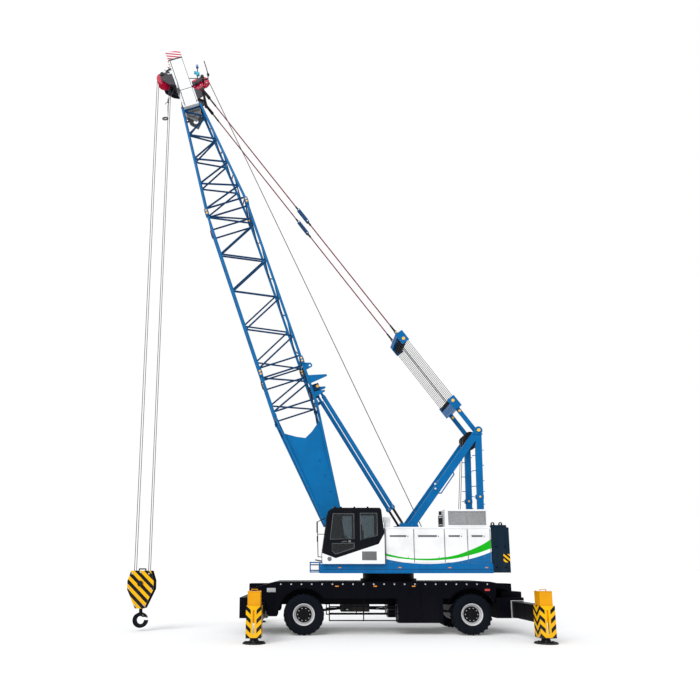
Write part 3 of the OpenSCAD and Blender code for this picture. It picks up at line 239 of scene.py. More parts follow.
def piece(name, build, material, body, smooth=None, of=()):
    """A mesh made by build(bm, *of), painted and riding on a body. smooth is its sharp edges' angle."""
    bm = bmesh.new()
    build(bm, *of)
    mesh = bpy.data.meshes.new(name)
    bm.to_mesh(mesh)
    bm.free()
    if smooth:
        mesh.shade_smooth()
        mesh.set_sharp_from_angle(angle=math.radians(smooth))
    mesh.materials.append(material)
    made = bpy.data.objects.new(name, mesh)
    scene.collection.objects.link(made)
    if body:
        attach(made, body)
    return made


ring_low, ring_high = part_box("slew_ring")
ring_behind_middle = 0.25
mid_wheelbase = (ring_low[0] + ring_high[0]) / 2 - ring_behind_middle


def at(x, y, z):
    """A point by the crane's own numbers: x from the middle of the wheelbase, z from the ground."""
    return Vector((x + mid_wheelbase, y, z))


def bar(bm, start, end, radius, sides=10, end_radius=None):
    """A round bar between two points."""
    start, end = Vector(start), Vector(end)
    along = end - start
    turn = along.to_track_quat("Z", "Y").to_matrix().to_4x4()
    bmesh.ops.create_cone(bm, cap_ends=True, segments=sides, radius1=radius,
                          radius2=radius if end_radius is None else end_radius, depth=along.length,
                          matrix=Matrix.Translation((start + end) / 2) @ turn)


def cross_bar(bm, x, z, y_from, y_to, radius, sides=10):
    """A round bar across the crane, between two widths."""
    bar(bm, at(x, y_from, z), at(x, y_to, z), radius, sides)


chassis_black = enamel("chassis_black", (0.001, 0.001, 0.004), rough=0.34, dust_top=1.4, dust=0.012, coat=0.0,
                       shine=0.06)
finish_in(chassis_black, "carrier_frame", "slew_ring", "side_guards")
zinc = enamel("zinc", (0.55, 0.56, 0.57), rough=0.35, dust_top=2.5, dust=0.1, coat=0, metallic=0.7)
deck_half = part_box("carrier_frame")[1][1]
skirt_bolts = 21
skirt_bolt_pitch = 0.35
skirt_bolt_z = 1.685


def deck_bolts(bm):
    for side in (-1, 1):
        for i in range(skirt_bolts):
            x = -3.6 + skirt_bolt_pitch * i
            cross_bar(bm, x, skirt_bolt_z, side * deck_half, side * (deck_half + 0.016), 0.020, 6)
            cross_bar(bm, x, skirt_bolt_z, side * deck_half, side * (deck_half + 0.006), 0.027, 16)


piece("deck_edge_bolts", deck_bolts, zinc, "carrier")

# Deck edge rails: black rolled flats riveted along the top of both deck edges.
# Each is one thin bar with broken edges that stands on the side plate's face.
def brick(bm, low, high, edge=0.0):
    """A box between two corners, with its edges rounded off when edge is given."""
    low, high = Vector(low), Vector(high)
    place = Matrix.Translation((low + high) / 2) @ Matrix.Diagonal((*(high - low), 1))
    made = bmesh.ops.create_cube(bm, size=1, matrix=place)
    if edge:
        edges = list(dict.fromkeys(e for v in made["verts"] for e in v.link_edges))
        bmesh.ops.bevel(bm, geom=edges, offset=edge, segments=2, profile=0.5, affect="EDGES")


def panel(bm, y, thick, x_reach, z_reach, edge=0.0):
    """A brick square to the crane, by its middle's y and thickness there, and its reach in x and in z."""
    brick(bm, at(x_reach[0], y - thick / 2, z_reach[0]), at(x_reach[1], y + thick / 2, z_reach[1]), edge)


def deck_rail(bm):
    for side in (-1, 1):
        panel(bm, side * (deck_half + 0.006), 0.012, (-3.72, 3.5), (1.725, 1.765), 0.004)


piece("deck_edge_rails", deck_rail, chassis_black, "carrier")

# Wheel arch trims and rear mudguards: steel strip bent round the side plates' arches and welded on.
# Each is a flat section carried round the wheel's centre.
half_wheelbase = 2.82
axle_z = 0.685
trim_section = ((0.858, 1.34), (0.858, 1.43), (0.872, 1.43), (0.872, 1.34))
trim_from_deg = 22
trim_sweep_deg = 136
trim_steps = 24


def skin(bm, rows, shut=True, ring=False, capped=False):
    """Faces between rows of corners. shut closes each row, ring joins the last row to the first."""
    count = len(rows[0])
    for row, following in zip(rows, rows[1:] + (rows[:1] if ring else [])):
        for k in range(count if shut else count - 1):
            after = (k + 1) % count
            bm.faces.new((row[k], row[after], following[after], following[k]))
    if capped:
        bm.faces.new(rows[0])
        bm.faces.new(rows[-1][::-1])


def arch_trims(bm):
    for side in (-1, 1):
        for axle_x in (-half_wheelbase, half_wheelbase):
            rows = []
            for i in range(trim_steps + 1):
                a = math.radians(trim_from_deg + i * trim_sweep_deg / trim_steps)
                rows.append([bm.verts.new(at(axle_x + r * math.cos(a), side * y, axle_z + r * math.sin(a)))
                             for r, y in trim_section])
            skin(bm, rows, capped=True)
    bmesh.ops.recalc_face_normals(bm, faces=bm.faces)


piece("arch_trims", arch_trims, chassis_black, "carrier", smooth=40)

# Front end fittings: small fender boxes with a round lamp each, and a grab tube across the bumper.
# They are pressed and tubular steel in grey paint, screwed to the deck's front corners.
rail_grey = enamel("rail_grey", (0.42, 0.43, 0.44), rough=0.35, dust_top=2.5, dust=0.15)


def front_fittings(bm):
    for side in (-1, 1):
        panel(bm, side * 1.36, 0.10, (-4.07, -3.77), (1.42, 1.56), 0.012)
        cross_bar(bm, -3.92, 1.49, side * 1.40, side * 1.425, 0.045, 18)
    cross_bar(bm, -4.99, 0.72, -0.3, 0.3, 0.03, 12)


piece("service_plates", front_fittings, rail_grey, "carrier", smooth=40)

# Lamps and reflectors on the carrier: moulded lenses in red and amber plastic, screwed to its frame.
# A fine wave in the colour stands for the ribs inside each lens.
def lens(name, colour):
    """Ribbed lamp plastic in one colour."""
    made = bpy.data.materials.new(name)
    made.use_nodes = True
    tree = made.node_tree
    bsdf = tree.nodes["Principled BSDF"]
    bsdf.inputs["Roughness"].default_value = 0.12
    bsdf.inputs["Coat Weight"].default_value = 1
    waves = node(tree, "TexWave", {"Scale": 40})
    ribs = node(tree, "Mix", data_type="RGBA")
    ribs.inputs[6].default_value = (*[c * 0.75 for c in colour], 1)
    ribs.inputs[7].default_value = (*colour, 1)
    tree.links.new(waves.outputs["Fac"], ribs.inputs[0])
    tree.links.new(ribs.outputs[2], bsdf.inputs["Base Color"])
    return made


red_lens = lens("red_lens", (0.6, 0.01, 0.01))
amber_lens = lens("amber_lens", (0.9, 0.3, 0.01))
lens_y = deck_half + 0.009


def rear_reflectors(bm):
    for side in (-1, 1):
        panel(bm, side * lens_y, 0.018, (3.30, 3.48), (1.46, 1.53), 0.006)
        panel(bm, side * 0.9, 0.24, (4.66, 4.675), (0.98, 1.08), 0.005)


def side_markers(bm):
    for side in (-1, 1):
        for x in (-1.7, -0.4, 0.9):
            panel(bm, side * lens_y, 0.018, (x - 0.06, x + 0.06), (1.60, 1.635), 0.005)


piece("rear_reflectors", rear_reflectors, red_lens, "carrier")
piece("side_markers", side_markers, amber_lens, "carrier")

# Locker lids: steel lids with bent bar handles and hinge tubes, on the side boxes between the wheels.
# Lids, handles and hinges are all in the chassis black.
def pipe(bm, points, radius, sides=8):
    """A bent round bar through points, with a ball at each bend."""
    for start, end in zip(points, points[1:]):
        bar(bm, start, end, radius, sides)
    for point in points[1:-1]:
        bmesh.ops.create_icosphere(bm, subdivisions=1, radius=radius * 1.04, matrix=Matrix.Translation(point))


def locker_fittings(bm):
    for side in (-1, 1):
        for x0, x1 in ((0.42, 1.10), (1.14, 1.82)):
            panel(bm, side * 1.385, 0.012, (x0, x1), (0.5, 1.5), 0.004)
            middle = (x0 + x1) / 2
            foot_y, grip_y, handle_z = side * 1.388, side * 1.41, 1.38
            pipe(bm, [at(middle - 0.08, foot_y, handle_z), at(middle - 0.08, grip_y, handle_z),
                      at(middle + 0.08, grip_y, handle_z), at(middle + 0.08, foot_y, handle_z)], 0.009)
            for x in (x0 + 0.12, x1 - 0.12):
                bar(bm, at(x - 0.05, side * 1.392, 0.52), at(x + 0.05, side * 1.392, 0.52), 0.014)


piece("locker_lids", locker_fittings, chassis_black, "carrier")

# Running gear: forged axles, steering knuckles, gearbox and shafts in dark paint with road dust.
# Zinc plated cross straps, bent from flat bar, tie the gearbox and the shafts to the frame.
running_gear_black = enamel("running_gear_black", (0.012, 0.012, 0.013), rough=0.5, dust_top=1.4, dust=0.15,
                            coat=0)
finish_in(running_gear_black, "front_axle", "rear_axle", "knuckle_near", "knuckle_far", "driveline")


def chassis_straps(bm):
    for x in (-1.3, -0.2, 0.1):
        panel(bm, 0, 1.24, (x - 0.03, x + 0.03), (0.78, 0.81), 0.004)


piece("chassis_straps", chassis_straps, zinc, "carrier")

# Tyres: heavy off-road tyres of grey-black rubber, a moulded carcass with slanted shoulder lugs.
# They stand for the plain CAD tyres and keep to their outer size. The carcass is a turned profile, and each
# lug is lofted from the tread's middle, over the shoulder, to the side wall.
tyre_rubber = enamel("tyre_rubber", (0.002, 0.004, 0.008), rough=0.6, dust_top=1.2, dust=0.03, peel=0.25,
                     coat=0, shine=0.08, dust_colour=(0.15, 0.14, 0.13, 1))
half_carcass = [(0.366, -0.139), (0.38, -0.163), (0.43, -0.186), (0.50, -0.1922), (0.575, -0.189),
                (0.625, -0.178), (0.650, -0.155), (0.657, -0.08), (0.658, 0.0)]
carcass = half_carcass + [(r, -y) for r, y in half_carcass[-2::-1]]
carcass_steps = 72
lugs_a_side = 24
# Each step of a lug: distance from the tread's middle, top and root radius, lead and half width in radians.
lug_steps = ((-0.012, 0.683, 0.64, 0.10, 0.030), (0.10, 0.684, 0.64, 0.05, 0.038),
             (0.148, 0.684, 0.63, 0.02, 0.042), (0.176, 0.664, 0.61, 0.0, 0.044),
             (0.187, 0.60, 0.575, 0.0, 0.040))


def spoke(radius, angle, y=0.0):
    """A point about a wheel's axle."""
    return Vector((radius * math.cos(angle), y, radius * math.sin(angle)))


def tyre(bm, centre):
    rows = [[bm.verts.new(spoke(r, i * math.tau / carcass_steps, y)) for r, y in carcass]
            for i in range(carcass_steps)]
    skin(bm, rows, shut=False, ring=True)
    for side in (-1, 1):
        for i in range(lugs_a_side):
            first = (i + (0.5 if side > 0 else 0)) * math.tau / lugs_a_side
            rows = []
            for y, top, root, lead, wide in lug_steps:
                corners = ((top, -wide), (top, wide), (root, wide * 1.25), (root, -wide * 1.25))
                rows.append([bm.verts.new(spoke(r, first + lead + w, side * y)) for r, w in corners])
            skin(bm, rows, capped=True)
    bmesh.ops.recalc_face_normals(bm, faces=bm.faces)
    bmesh.ops.translate(bm, verts=bm.verts, vec=centre)


# Wheels: pressed steel rims in silver paint round a dark dished centre plate, held by ten zinc plated nuts.
# The plate is turned from its radii and depths out of the wheel's middle, and a hub cap closes it.
rim_silver = enamel("rim_silver", (0.62, 0.62, 0.64), rough=0.35, dust_top=1.4, dust=0.2, coat=0.2)
wheel_dark = enamel("wheel_dark", (0.004, 0.004, 0.006), rough=0.4, dust_top=1.4, dust=0.02, coat=0.0,
                    shine=0.08)
finish_in(rim_silver, "rim_fn", "rim_ff", "rim_rn", "rim_rf")
dish = ((0.305, 0.012), (0.285, 0.03), (0.255, 0.073), (0.15, 0.074), (0.15, 0.150), (0.10, 0.156),
        (0.03, 0.158))
dish_steps = 40
wheel_nuts = 10
nut_circle = 0.205
# The washer, the nut and the stud's end: where each starts and ends, its radius and its sides.
nut_parts = ((0.073, 0.080, 0.018, 16), (0.078, 0.108, 0.015, 6), (0.106, 0.125, 0.008, 8))


def centre_plate(bm, centre, outward):
    rows = [[bm.verts.new(spoke(r, i * math.tau / dish_steps, outward * y)) for i in range(dish_steps)]
            for r, y in dish]
    skin(bm, rows)
    bm.faces.new(rows[-1])
    bmesh.ops.recalc_face_normals(bm, faces=bm.faces)
    bar(bm, (0, outward * 0.155, 0), (0, outward * 0.175, 0), 0.055, 12, 0.045)
    bmesh.ops.translate(bm, verts=bm.verts, vec=centre)


def nuts_and_valve(bm, centre, outward):
    for i in range(wheel_nuts):
        a = i * math.tau / wheel_nuts
        for start, end, radius, sides in nut_parts:
            bar(bm, spoke(nut_circle, a, outward * start), spoke(nut_circle, a, outward * end), radius, sides)
    bar(bm, (0.30, outward * 0.12, 0.12), (0.335, outward * 0.13, 0.10), 0.008, 8)
    bmesh.ops.translate(bm, verts=bm.verts, vec=centre)


for corner in ("fn", "ff", "rn", "rf"):
    low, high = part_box("tyre_" + corner)
    centre = (Vector(low) + Vector(high)) / 2
    outward = -1 if corner.endswith("n") else 1
    wheel = "wheel_" + corner
    tread = piece("tyre_tread_" + corner, tyre, tyre_rubber, wheel, smooth=35, of=(centre,))
    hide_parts("tyre_" + corner)
    piece("wheel_centre_" + corner, centre_plate, wheel_dark, wheel, smooth=35, of=(centre, outward))
    piece("wheel_nuts_" + corner, nuts_and_valve, zinc, wheel, smooth=35, of=(centre, outward))

# Outriggers: black box beams with yellow leg columns, yellow sleeves with black V bands, black float pads.
# A sleeve's middle strip stays plain round its slot. Each leg's cap has a lifting bow and four bolts, two
# rubber hoses rise from the beam's end, and the cast pad has eight ribs round its ball joint.
def off_centre(tree, axis, centre=0.0):
    """The distance from a centre along one axis of the row frame."""
    place = node(tree, "TexCoord")
    split = node(tree, "SeparateXYZ")
    tree.links.new(place.outputs["Object"], split.inputs[0])
    less = node(tree, "Math", {1: centre}, operation="SUBTRACT")
    tree.links.new(split.outputs[axis], less.inputs[0])
    size = node(tree, "Math", operation="ABSOLUTE")
    tree.links.new(less.outputs[0], size.inputs[0])
    return size.outputs[0]


def maths(tree, operation, *values):
    """One maths node on one or two inputs, each a socket or a number."""
    made = node(tree, "Math", operation=operation)
    for k, value in enumerate(values):
        if isinstance(value, (int, float)):
            made.inputs[k].default_value = value
        else:
            tree.links.new(value, made.inputs[k])
    return made.outputs[0]


def above(tree, value, limit):
    return maths(tree, "GREATER_THAN", value, limit)


def below(tree, value, limit):
    return maths(tree, "LESS_THAN", value, limit)


def both(tree, first, second):
    return maths(tree, "MULTIPLY", first, second)


def stripes(tree, value, pitch, share=0.5):
    """1 in the last part of each pitch, from this share of it on."""
    return above(tree, maths(tree, "FRACT", maths(tree, "DIVIDE", value, pitch)), share)


def either_colour(tree, mask, off, on):
    """A colour chosen by a mask; each colour is a triple or a socket."""
    mix = node(tree, "Mix", data_type="RGBA")
    tree.links.new(mask, mix.inputs[0])
    for k, value in ((6, off), (7, on)):
        if isinstance(value, tuple):
            mix.inputs[k].default_value = (*value, 1)
        else:
            tree.links.new(value, mix.inputs[k])
    return mix.outputs[2]


def reach_along(tree, direction, offset=0.0):
    """How far a point lies along a direction of the row frame."""
    place = node(tree, "TexCoord")
    dot = node(tree, "VectorMath", {1: direction}, operation="DOT_PRODUCT")
    tree.links.new(place.outputs["Object"], dot.inputs[0])
    return maths(tree, "ADD", dot.outputs["Value"], offset)


leg_yellow_paint = (0.76, 0.33, 0.002)
stripe_yellow = (0.86, 0.45, 0.0)
stripe_black = (0.004, 0.004, 0.006)
band_pitch = 0.27
band_share = 0.52
plain_strip_half = 0.085
pad_top = 0.185
column_face = 3.2595


def sleeve_bands(x, y):
    """V bands that run down from each sleeve's middle, round the leg at (x, y)."""
    def marked(tree):
        dx, dy = off_centre(tree, "X", x), off_centre(tree, "Y", y)
        z = reach_along(tree, (0, 0, 1))
        slant = maths(tree, "SUBTRACT", z, maths(tree, "ADD", dx, dy))
        band = stripes(tree, maths(tree, "ADD", slant, 5.0), band_pitch, band_share)
        beside_slot = above(tree, dx, plain_strip_half)
        on_sleeve = above(tree, z, pad_top)
        striped = both(tree, band, beside_slot)
        banded = either_colour(tree, striped, stripe_yellow, stripe_black)
        return either_colour(tree, on_sleeve, stripe_black, banded)
    return marked


def beam_and_column(tree):
    """Black up to the column's inner face, yellow beyond it."""
    width = off_centre(tree, "Y")
    return either_colour(tree, above(tree, width, column_face), stripe_black, leg_yellow_paint)


beam_paint = enamel("beam_paint", stripe_black, rough=0.34, dust_top=1.4, dust=0.05, coat=0.1,
                    marked=beam_and_column)
finish_in(beam_paint, "beam_fn", "beam_ff", "beam_rn", "beam_rf")
leg_yellow = enamel("leg_yellow", leg_yellow_paint, rough=0.3, dust_top=1.8, dust=0.05)
hose_black = enamel("hose_black", (0.016, 0.016, 0.018), rough=0.55, dust_top=3, dust=0.2, coat=0)
cap_half = 0.20
cap_z = 1.512
bow = ((-0.09, 1.53), (-0.09, 1.585), (0.09, 1.585), (0.09, 1.53))
# The hoses' route up the column, by width and height.
hose_route = ((3.22, 1.13), (3.21, 1.24), (3.22, 1.34), (3.262, 1.42))
float_ribs = 8
float_bolts = 6


def column_cap(bm, x, y):
    brick(bm, (x - cap_half, y - cap_half, cap_z), (x + cap_half, y + cap_half, cap_z + 0.02), 0.006)
    pipe(bm, [(x + dx, y, z) for dx, z in bow], 0.011)
    for dx in (-0.155, 0.155):
        for dy in (-0.155, 0.155):
            bar(bm, (x + dx, y + dy, cap_z + 0.018), (x + dx, y + dy, cap_z + 0.036), 0.018, 6)


def leg_hoses(bm, x, y):
    side = 1 if y > 0 else -1
    for dx in (-0.05, 0.05):
        bar(bm, (x + dx, side * 3.22, 1.108), (x + dx, side * 3.22, 1.135), 0.022, 8)
        pipe(bm, [(x + dx, side * width, z) for width, z in hose_route], 0.014)


def round_leg(x, y, radius, angle, z):
    """A point about a leg's centre line."""
    return (x + radius * math.cos(angle), y + radius * math.sin(angle), z)


def float_details(bm, x, y):
    for k in range(float_ribs):
        a = k * math.tau / float_ribs + 0.39
        bar(bm, round_leg(x, y, 0.10, a, 0.046), round_leg(x, y, 0.31, a, 0.046), 0.012, 4)
    for k in range(float_bolts):
        a = k * math.tau / float_bolts
        bar(bm, round_leg(x, y, 0.12, a, 0.165), round_leg(x, y, 0.12, a, 0.185), 0.014, 6)


leg_places = {}
for leg in ("fn", "ff", "rn", "rf"):
    low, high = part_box("jack_" + leg)
    leg_at = ((low[0] + high[0]) / 2, (low[1] + high[1]) / 2)
    leg_places[leg] = leg_at
    sleeve_paint = enamel("sleeve_paint_" + leg, leg_yellow_paint, rough=0.3, dust_top=1.0, dust=0.08,
                          marked=sleeve_bands(*leg_at))
    finish_in(sleeve_paint, "jack_" + leg)
    piece("column_cap_" + leg, column_cap, leg_yellow, "outrigger_" + leg, of=leg_at)
    piece("leg_hoses_" + leg, leg_hoses, hose_black, "outrigger_" + leg, smooth=50, of=leg_at)
    piece("float_ribs_" + leg, float_details, chassis_black, "foot_" + leg, of=leg_at)

# Mouth flanges: light grey wear collars, welded from flat bar round each beam where it leaves the frame.
# Each is four flats that stand square to the beam.
flange_y = 1.33
collar_flats = (((-0.215, 0.215), (0.555, 0.58)), ((-0.215, 0.215), (1.12, 1.145)),
                ((-0.215, -0.19), (0.58, 1.12)), ((0.19, 0.215), (0.58, 1.12)))


def mouth_flanges(bm):
    for x, y in leg_places.values():
        middle_y = flange_y if y > 0 else -flange_y
        for (left, right), (foot, top) in collar_flats:
            brick(bm, (x + left, middle_y - 0.03, foot), (x + right, middle_y + 0.03, top), 0.004)


piece("mouth_flanges", mouth_flanges, rail_grey, "carrier")

# Turntable: a welded deck in bright blue, with two lines pressed along its side plates and a row of bolts.
# Small amber lamps sit on the side plates, and a step with two ribbed treads hangs under the cab's front.
blue_paint = (0.0, 0.128, 0.36)
crane_blue = enamel("crane_blue", blue_paint, rough=0.3, dust_top=4.0, dust=0.03, coat=0.04)
finish_in(crane_blue, "turntable", "gantry")
deep_blue = enamel("deep_blue", (0.0, 0.05, 0.16), rough=0.3, dust_top=4.0, dust=0.05, coat=0.2)
turntable_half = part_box("turntable")[1][1]
pressed_reach = (-2.2, 3.6)
side_bolts = 24
side_bolt_pitch = 0.247
tread_front, tread_back = -2.60, -2.24
tread_outer, tread_inner = -1.38, -0.88


def pressed_line(bm):
    for side in (-1, 1):
        for z_reach in ((2.17, 2.19), (2.09, 2.10)):
            panel(bm, side * (turntable_half - 0.001), 0.008, pressed_reach, z_reach, 0.002)
        for i in range(side_bolts):
            x = -2.1 + side_bolt_pitch * i
            cross_bar(bm, x, 2.33, side * (turntable_half - 0.002), side * (turntable_half + 0.005), 0.012, 6)


def turntable_lamps(bm):
    for side in (-1, 1):
        for x in (-1.6, 0.45, 2.15, 3.4):
            panel(bm, side * (turntable_half + 0.003), 0.02, (x - 0.05, x + 0.05), (2.225, 2.26), 0.006)


def cab_steps(bm):
    for z in (2.075, 2.40):
        brick(bm, at(-2.62, tread_outer - 0.02, z), at(-2.20, tread_inner + 0.02, z + 0.035), 0.006)
        for i in range(9):
            x = tread_front + 0.045 * i
            brick(bm, at(x, tread_outer, z + 0.034), at(x + 0.015, tread_inner, z + 0.042))
    for x in (-2.60, -2.27):
        for y in (-1.39, -0.88):
            bar(bm, at(x, y, 2.08), at(x, y, 2.42), 0.018)
    for z in (2.15, 2.34):
        brick(bm, at(tread_front, -1.0, z - 0.02), at(tread_back, -0.96, z + 0.02), 0.004)


piece("turntable_pressing", pressed_line, deep_blue, "upper")
piece("turntable_lamps", turntable_lamps, amber_lens, "upper")
piece("cab_steps", cab_steps, crane_blue, "upper")

# Machine house: smooth white sheet panels with a green and a blue swoosh sprayed along both sides.
# Each edge of a swoosh is a smooth line of height against length, the same on the near and far side.
swoosh_start = -0.1
swoosh_length = 3.8
swoosh_foot = 2.2
swoosh_rise = 1.2
side_skin_y = 1.382
swoosh_green = (0.0, 0.44, 0.002)
green_top_line = ((-0.1, 2.745), (0.94, 2.556), (2.07, 2.605), (2.83, 2.82), (3.65, 3.24))
green_low_line = ((-0.1, 2.655), (0.94, 2.504), (2.07, 2.515), (2.83, 2.655), (3.65, 2.915))
blue_top_line = ((-0.1, 2.55), (0.94, 2.385), (2.07, 2.40), (2.83, 2.53), (3.65, 2.80))


def curve_height(tree, line):
    """The height of a smooth line over x, in metres, as a socket."""
    x = reach_along(tree, (1, 0, 0), -(mid_wheelbase + swoosh_start))
    along = maths(tree, "DIVIDE", x, swoosh_length)
    curve = node(tree, "FloatCurve")
    points = curve.mapping.curves[0].points
    places = [((px - swoosh_start) / swoosh_length, (pz - swoosh_foot) / swoosh_rise) for px, pz in line]
    points[0].location = places[0]
    points[1].location = places[-1]
    for place in places[1:-1]:
        points.new(*place)
    curve.mapping.update()
    tree.links.new(along, curve.inputs["Value"])
    return maths(tree, "ADD", maths(tree, "MULTIPLY", curve.outputs["Value"], swoosh_rise), swoosh_foot)


white_paint = (0.86, 0.87, 0.88)


def swoosh(tree):
    z = reach_along(tree, (0, 0, 1))
    green_top = curve_height(tree, green_top_line)
    green_low = curve_height(tree, green_low_line)
    blue_top = curve_height(tree, blue_top_line)
    outer = above(tree, off_centre(tree, "Y"), side_skin_y)
    in_green = both(tree, below(tree, z, green_top), above(tree, z, green_low))
    in_blue = below(tree, z, blue_top)
    greened = either_colour(tree, both(tree, in_green, outer), white_paint, swoosh_green)
    return either_colour(tree, both(tree, in_blue, outer), greened, blue_paint)


house_white = enamel("house_white", white_paint, rough=0.22, dust_top=5.0, dust=0.04, coat=0.15,
                     marked=swoosh)
finish_in(house_white, "house", "house_door_1", "house_door_2", "house_door_3", "house_door_4")

# House lids: each of the four doors has a grey slot handle under a drip lip, and two round locks.
# The far side has plain seams and slots in the same grey, and rubber seals close the gaps between the lids.
trim_grey = enamel("trim_grey", (0.16, 0.165, 0.17), rough=0.4, dust_top=5.0, dust=0.05, coat=0.1)
lid_edges = (-0.010, 0.960, 2.010, 2.800, 3.580)
slot_after_edge = 0.139
slot_before_edge = 0.262


def lid_handle(bm, left, right):
    panel(bm, -1.389, 0.003, (left + 0.004, right - 0.004), (3.279, 3.331), 0.001)
    panel(bm, -1.400, 0.008, (left - 0.01, right + 0.01), (3.331, 3.345), 0.003)
    cross_bar(bm, right + 0.05, 3.305, -1.396, -1.408, 0.020, 12)
    cross_bar(bm, right + 0.05, 2.60, -1.396, -1.408, 0.016, 12)


def far_lid_seams(bm):
    for x in lid_edges[1:4]:
        panel(bm, 1.402, 0.005, (x - 0.008, x + 0.008), (2.42, 3.56), 0.001)
    for x in (0.70, 1.75, 2.54, 3.32):
        panel(bm, 1.402, 0.008, (x, x + 0.2), (3.255, 3.335), 0.004)


def lid_seals(bm):
    for x in lid_edges:
        panel(bm, -1.401, 0.005, (x - 0.015, x + 0.003), (2.41, 3.56), 0.001)


for door, (left, right) in enumerate(zip(lid_edges, lid_edges[1:]), 1):
    piece("lid_handle_" + str(door), lid_handle, trim_grey, "door_" + str(door), smooth=40,
          of=(left + slot_after_edge, right - slot_before_edge))
piece("far_lid_handles", far_lid_seams, trim_grey, "upper")
piece("lid_seals", lid_seals, trim_grey, "upper")

# House roof: drip rails, a bolted hatch plate on each half, and a white lamp post with a clear work lamp.
# All but the lamp's glass are folded sheet in the house's plain white.
plain_white = enamel("plain_white", white_paint, rough=0.24, dust_top=5.0, dust=0.05, coat=0.15)
clear_lens = lens("clear_lens", (0.75, 0.78, 0.8))
roof_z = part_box("house")[1][2]
hatch_bolts = 6
hatch_bolt_pitch = 0.29


def roof_fittings(bm):
    for side in (-1, 1):
        panel(bm, side * 1.38, 0.024, (-0.02, 3.59), (roof_z, roof_z + 0.023), 0.005)
        panel(bm, side * 1.12, 0.4, (0.1, 1.75), (roof_z + 0.001, roof_z + 0.017), 0.006)
        for k in range(hatch_bolts):
            x = 0.2 + hatch_bolt_pitch * k
            bar(bm, at(x, side * 1.285, roof_z + 0.015), at(x, side * 1.285, roof_z + 0.027), 0.012, 6)
    brick(bm, at(-0.03, -1.24, roof_z + 0.015), at(0.18, -1.16, 3.97), 0.02)
    brick(bm, at(-0.05, -1.26, 3.80), at(0.20, -1.14, 3.99), 0.02)


def work_lamp(bm):
    brick(bm, at(0.0, -1.266, 3.83), at(0.16, -1.255, 3.96), 0.008)


piece("roof_fittings", roof_fittings, plain_white, "upper", smooth=40)
piece("work_lamp", work_lamp, clear_lens, "upper")

# Air intake: a white sheet enclosure whose near face is a frame round woven grey wire mesh.
# The wires are laid one by one, upright ones behind the level ones, with a flat frame over their ends.
finish_in(plain_white, "intake", "cab_skirt")
mesh_grey = enamel("mesh_grey", (0.33, 0.34, 0.35), rough=0.4, dust_top=5.0, dust=0.05, coat=0, metallic=0.4)
mesh_left, mesh_right = 2.19, 3.48
mesh_foot, mesh_top = 3.70, 4.18
mesh_y = -1.30
mesh_wire = 0.008
upright_wires = 44
level_wires = 17


def mesh_screen(bm):
    for i in range(upright_wires):
        x = mesh_left + (mesh_right - mesh_left) * i / (upright_wires - 1)
        panel(bm, mesh_y, mesh_wire, (x - mesh_wire / 2, x + mesh_wire / 2), (mesh_foot, mesh_top))
    for i in range(level_wires):
        z = mesh_foot + (mesh_top - mesh_foot) * i / (level_wires - 1)
        panel(bm, mesh_y - 0.005, mesh_wire, (mesh_left, mesh_right), (z - mesh_wire / 2, z + mesh_wire / 2))
    middle = (mesh_left + mesh_right) / 2
    wide = (mesh_left - 0.01, mesh_right + 0.01)
    tall = (mesh_foot, mesh_top)
    for x_reach, z_reach in ((wide, (mesh_foot - 0.01, mesh_foot + 0.02)),
                             (wide, (mesh_top - 0.02, mesh_top + 0.01)),
                             ((mesh_left - 0.01, mesh_left + 0.02), tall),
                             ((mesh_right - 0.02, mesh_right + 0.01), tall),
                             ((middle - 0.012, middle + 0.012), tall)):
        panel(bm, mesh_y - 0.003, 0.026, x_reach, z_reach, 0.003)


piece("intake_mesh", mesh_screen, mesh_grey, "upper")

# Exhaust: a painted steel silencer, sooty black, with two zinc plated clamp bands and a tapered rim.
# Each band has a bolted lug on its near side.
soot_black = enamel("soot_black", (0.014, 0.013, 0.012), rough=0.55, dust_top=5, dust=0.1, coat=0)
finish_in(soot_black, "exhaust")
exhaust_x, exhaust_y = 1.96, -1.1


def clamps(bm):
    for z in (3.70, 3.96):
        bar(bm, at(exhaust_x, exhaust_y, z), at(exhaust_x, exhaust_y, z + 0.03), 0.080, 24)
        panel(bm, exhaust_y - 0.085, 0.03, (exhaust_x - 0.02, exhaust_x + 0.02), (z, z + 0.03), 0.004)
    bar(bm, at(exhaust_x, exhaust_y, 4.02), at(exhaust_x, exhaust_y, 4.06), 0.078, 24, 0.055)


piece("exhaust_clamps", clamps, zinc, "upper", smooth=40)

# Counterweight: stacked cast slabs in dark navy, with a hazard band along the foot of their rear end.
# The band is painted on. Tie bolts stand on both sides, lifting bosses and slot covers on the rear face.
navy_paint = (0.002, 0.014, 0.030)
hazard_foot, hazard_top = 2.42, 2.70
hazard_from_x = 4.0
hazard_direction = (1, 1, 1.2)
hazard_pitch = 0.2


def weight_bands(tree):
    z = reach_along(tree, (0, 0, 1))
    low_band = both(tree, above(tree, z, hazard_foot), below(tree, z, hazard_top))
    slant = reach_along(tree, hazard_direction)
    band = stripes(tree, slant, hazard_pitch)
    rearward = above(tree, reach_along(tree, (1, 0, 0)), hazard_from_x + mid_wheelbase)
    hazard = either_colour(tree, band, stripe_yellow, stripe_black)
    return either_colour(tree, both(tree, low_band, rearward), navy_paint, hazard)


weight_navy = enamel("weight_navy", navy_paint, rough=0.4, dust_top=3.5, dust=0.05, coat=0.03,
                     marked=weight_bands)
finish_in(weight_navy, "counterweight")


def weight_fittings(bm):
    for side in (-1, 1):
        for x in (3.76, 4.06):
            for z in (2.95, 2.25):
                cross_bar(bm, x, z, side * 1.381, side * 1.395, 0.03, 6)
        for y in (0.4, 0.9):
            bar(bm, at(4.228, side * y, 3.3), at(4.24, side * y, 3.3), 0.045, 20)
            panel(bm, side * y, 0.24, (4.225, 4.238), (2.28, 2.36), 0.004)


